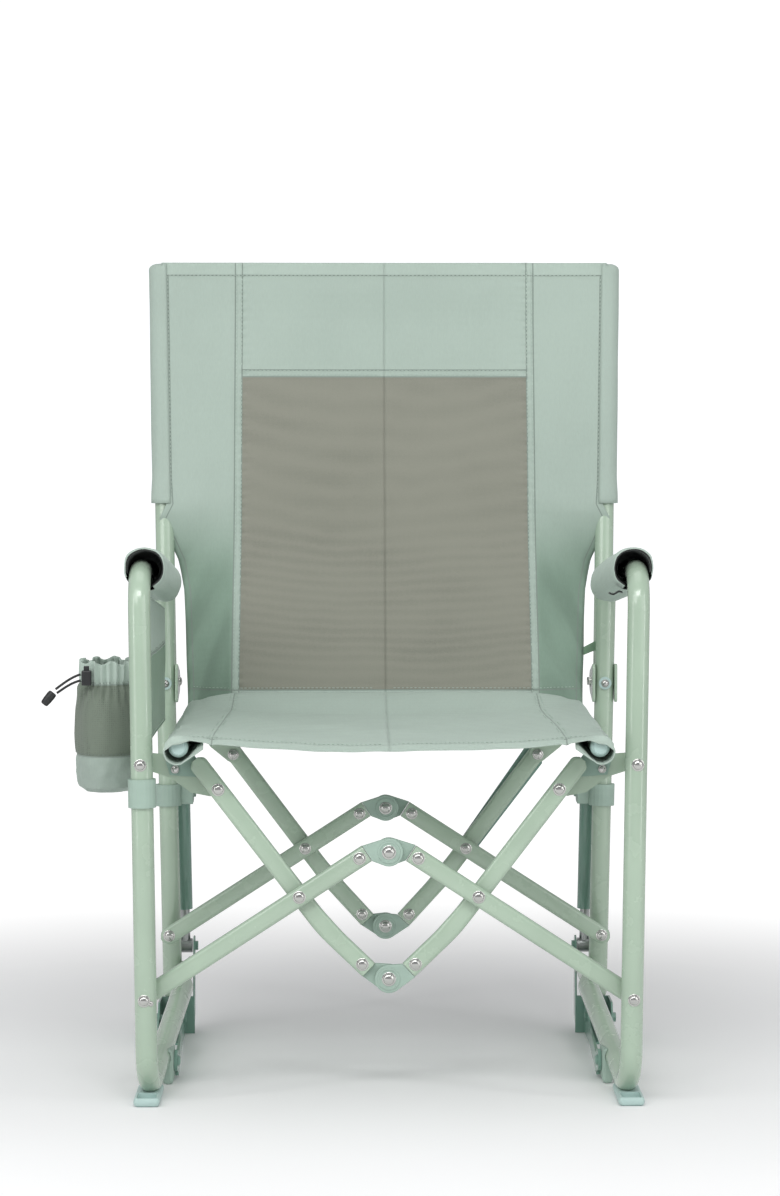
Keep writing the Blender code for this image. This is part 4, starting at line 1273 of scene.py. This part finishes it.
def post_tab():
    """Short webbing tab from the right rear post to the back sling's edge."""
    strap = bevelled_slab(
        [(0.2490, 0.4790), (0.2660, 0.4860), (0.2660, 0.4980), (0.2490, 0.4890)],
        0.4330, 0.4346, 0.0005)
    place("post_tab", strap, ["side"], "right_frame")


def pad_flap():
    """Loose end of the right arm pad's dark lining, under its front rim."""
    rows = []
    for j in range(5):
        y = 0.0200 + 0.0050 * j
        row = []
        for i in range(13):
            x = 0.2480 + 0.0012 * i
            z = arm_z(y) - 0.0262 - 0.0016 * math.sin(i * 0.5) - 0.0012 * (j == 0)
            row.append(Vector((x, y, z)))
        rows.append(row)
    obj = place("lining_flap", grid_mesh(rows), ["lining"], "right_frame")
    thickened(obj, 0.0012)
    declare_sheet(obj)


# ---- CAD nodes that stay ------------------------------------------------------------------
def dress(node, key):
    obj = NODES[node]
    obj.data.materials.clear()
    obj.data.materials.append(MATS[key])
    for polygon in obj.data.polygons:
        polygon.material_index = 0


def dress_all():
    for _, side in SIDES:
        for part, key in (
            ("foot_shoe", "cap"),
            ("runner_pad", "hub"),
            ("floor_link", "teal"),
            ("strut_collar", "hub"),
            ("strut_tube", "teal"),
            ("strut_rod", "steel"),
            ("leg_link", "paint"),
            ("seat_gusset", "blue"),
            ("rear_bracket", "paint"),
        ):
            dress(f"{side}_{part}", key)
    for node, key in (
        ("pouch_clamp", "hub"),
        ("cord_lock", "black"),
        ("cord_button", "black"),
        ("rear_strap", "teal"),
    ):
        dress(node, key)


# ---- floor and light ----------------------------------------------------------------------
def floor_material():
    """Pale paper that fades to plain white away from the chair, for the camera only."""
    s = Shader("floor_paper", Roughness=0.9)
    s.wire(s.ramp(s.noise(1.5, 2.0), [(0.3, (0.86, 0.86, 0.86)), (0.7, (0.88, 0.88, 0.88))]),
           "Base Color")
    spot = s.add("ShaderNodeNewGeometry").outputs["Position"]
    length = s.add("ShaderNodeVectorMath", [(spot, 0)], operation="LENGTH").outputs["Value"]
    share = s.math("MULTIPLY", s.fade(length, 0.5, 1.7), s.camera_ray())
    glow = s.add("ShaderNodeEmission", Color=(1, 1, 1, 1), Strength=WHITE).outputs[0]
    mix = s.add("ShaderNodeMixShader", [(share, 0), (s.main.outputs[0], 1), (glow, 2)])
    s.tree.links.new(mix.outputs[0], s.tree.nodes["Material Output"].inputs["Surface"])
    return s.mat


def add_floor():
    bm = bmesh.new()
    bmesh.ops.create_circle(bm, cap_ends=True, segments=64, radius=14.0)
    floor = added("floor", mesh_of(bm))
    floor.data.materials.append(floor_material())


def area_light(name, at, aim, size, power):
    data = bpy.data.lights.new(name, "AREA")
    data.shape = "RECTANGLE"
    data.size, data.size_y = size
    data.energy = power
    obj = added(name, data)
    obj.location = at
    obj.rotation_euler = (Vector(aim) - Vector(at)).to_track_quat("-Z", "Y").to_euler()
    obj.visible_camera = False


def add_light():
    world = bpy.data.worlds.new("studio")
    world.use_nodes = True
    tree = world.node_tree
    background = tree.nodes["Background"]
    background.inputs[0].default_value = (0.97, 0.98, 1.0, 1)
    strength = tree.nodes.new("ShaderNodeMapRange")
    strength.inputs["To Min"].default_value = 0.56
    strength.inputs["To Max"].default_value = WHITE
    seen = tree.nodes.new("ShaderNodeLightPath").outputs["Is Camera Ray"]
    tree.links.new(seen, strength.inputs["Value"])
    tree.links.new(strength.outputs["Result"], background.inputs[1])
    scene = bpy.context.scene
    scene.world = world
    scene.view_settings.view_transform = "Standard"
    scene.view_settings.exposure = -0.32
    area_light("key", (-1.2, -1.9, 1.8), (0, 0, 0.5), (1.2, 1.2), 17.5)
    area_light("fill", (1.5, -2.0, 1.1), (0, 0, 0.5), (1.0, 1.4), 7)
    area_light("strip_left", (-1.9, -1.3, 0.9), (0, 0, 0.5), (0.22, 1.8), 9)
    area_light("strip_right", (2.0, -1.3, 0.9), (0, 0, 0.5), (0.22, 1.8), 9)
    area_light("top", (0.0, 0.2, 3.2), (0, 0.2, 0.4), (2.6, 2.6), 25)
    area_light("front_floor", (0.0, -2.6, 2.6), (0, -1.6, 0.0), (2.0, 0.8), 48)


def build():
    add_camera()
    cords()
    for s, side in SIDES:
        side_tube(s, side)
        posts(s, side)
        rail(s, side)
        back_bracket(s, side)
        plate_rivets(s, side)
        arm_cover(s, side)
        sleeve(s, side)
        for place_name, spec in (("front", FRONT), ("rear", REAR)):
            low_bar(s, side, place_name, spec)
            steep_bar(s, side, place_name, spec)
            hub(s, side, place_name, spec, "upper")
            hub(s, side, place_name, spec, "lower")
    backs = back_sling()
    seats = seat_sling()
    for (s, side), back, seat in zip(SIDES, backs, seats):
        declare_sheet(back)
        declare_sheet(seat)
        threads = stitches(f"back_stitches_{side}", one_side(back_lines(), s), "thread",
                           f"{side}_back")
        crumple(threads)
        threads = stitches(f"seat_stitches_{side}", one_side(seat_lines(), s), "thread",
                           f"{side}_seat_side")
        crumple(threads)
    pouch()
    side_panel()
    pad_flap()
    post_tab()
    dress_all()
    add_floor()
    add_light()


build()
bpy.context.view_layer.update()
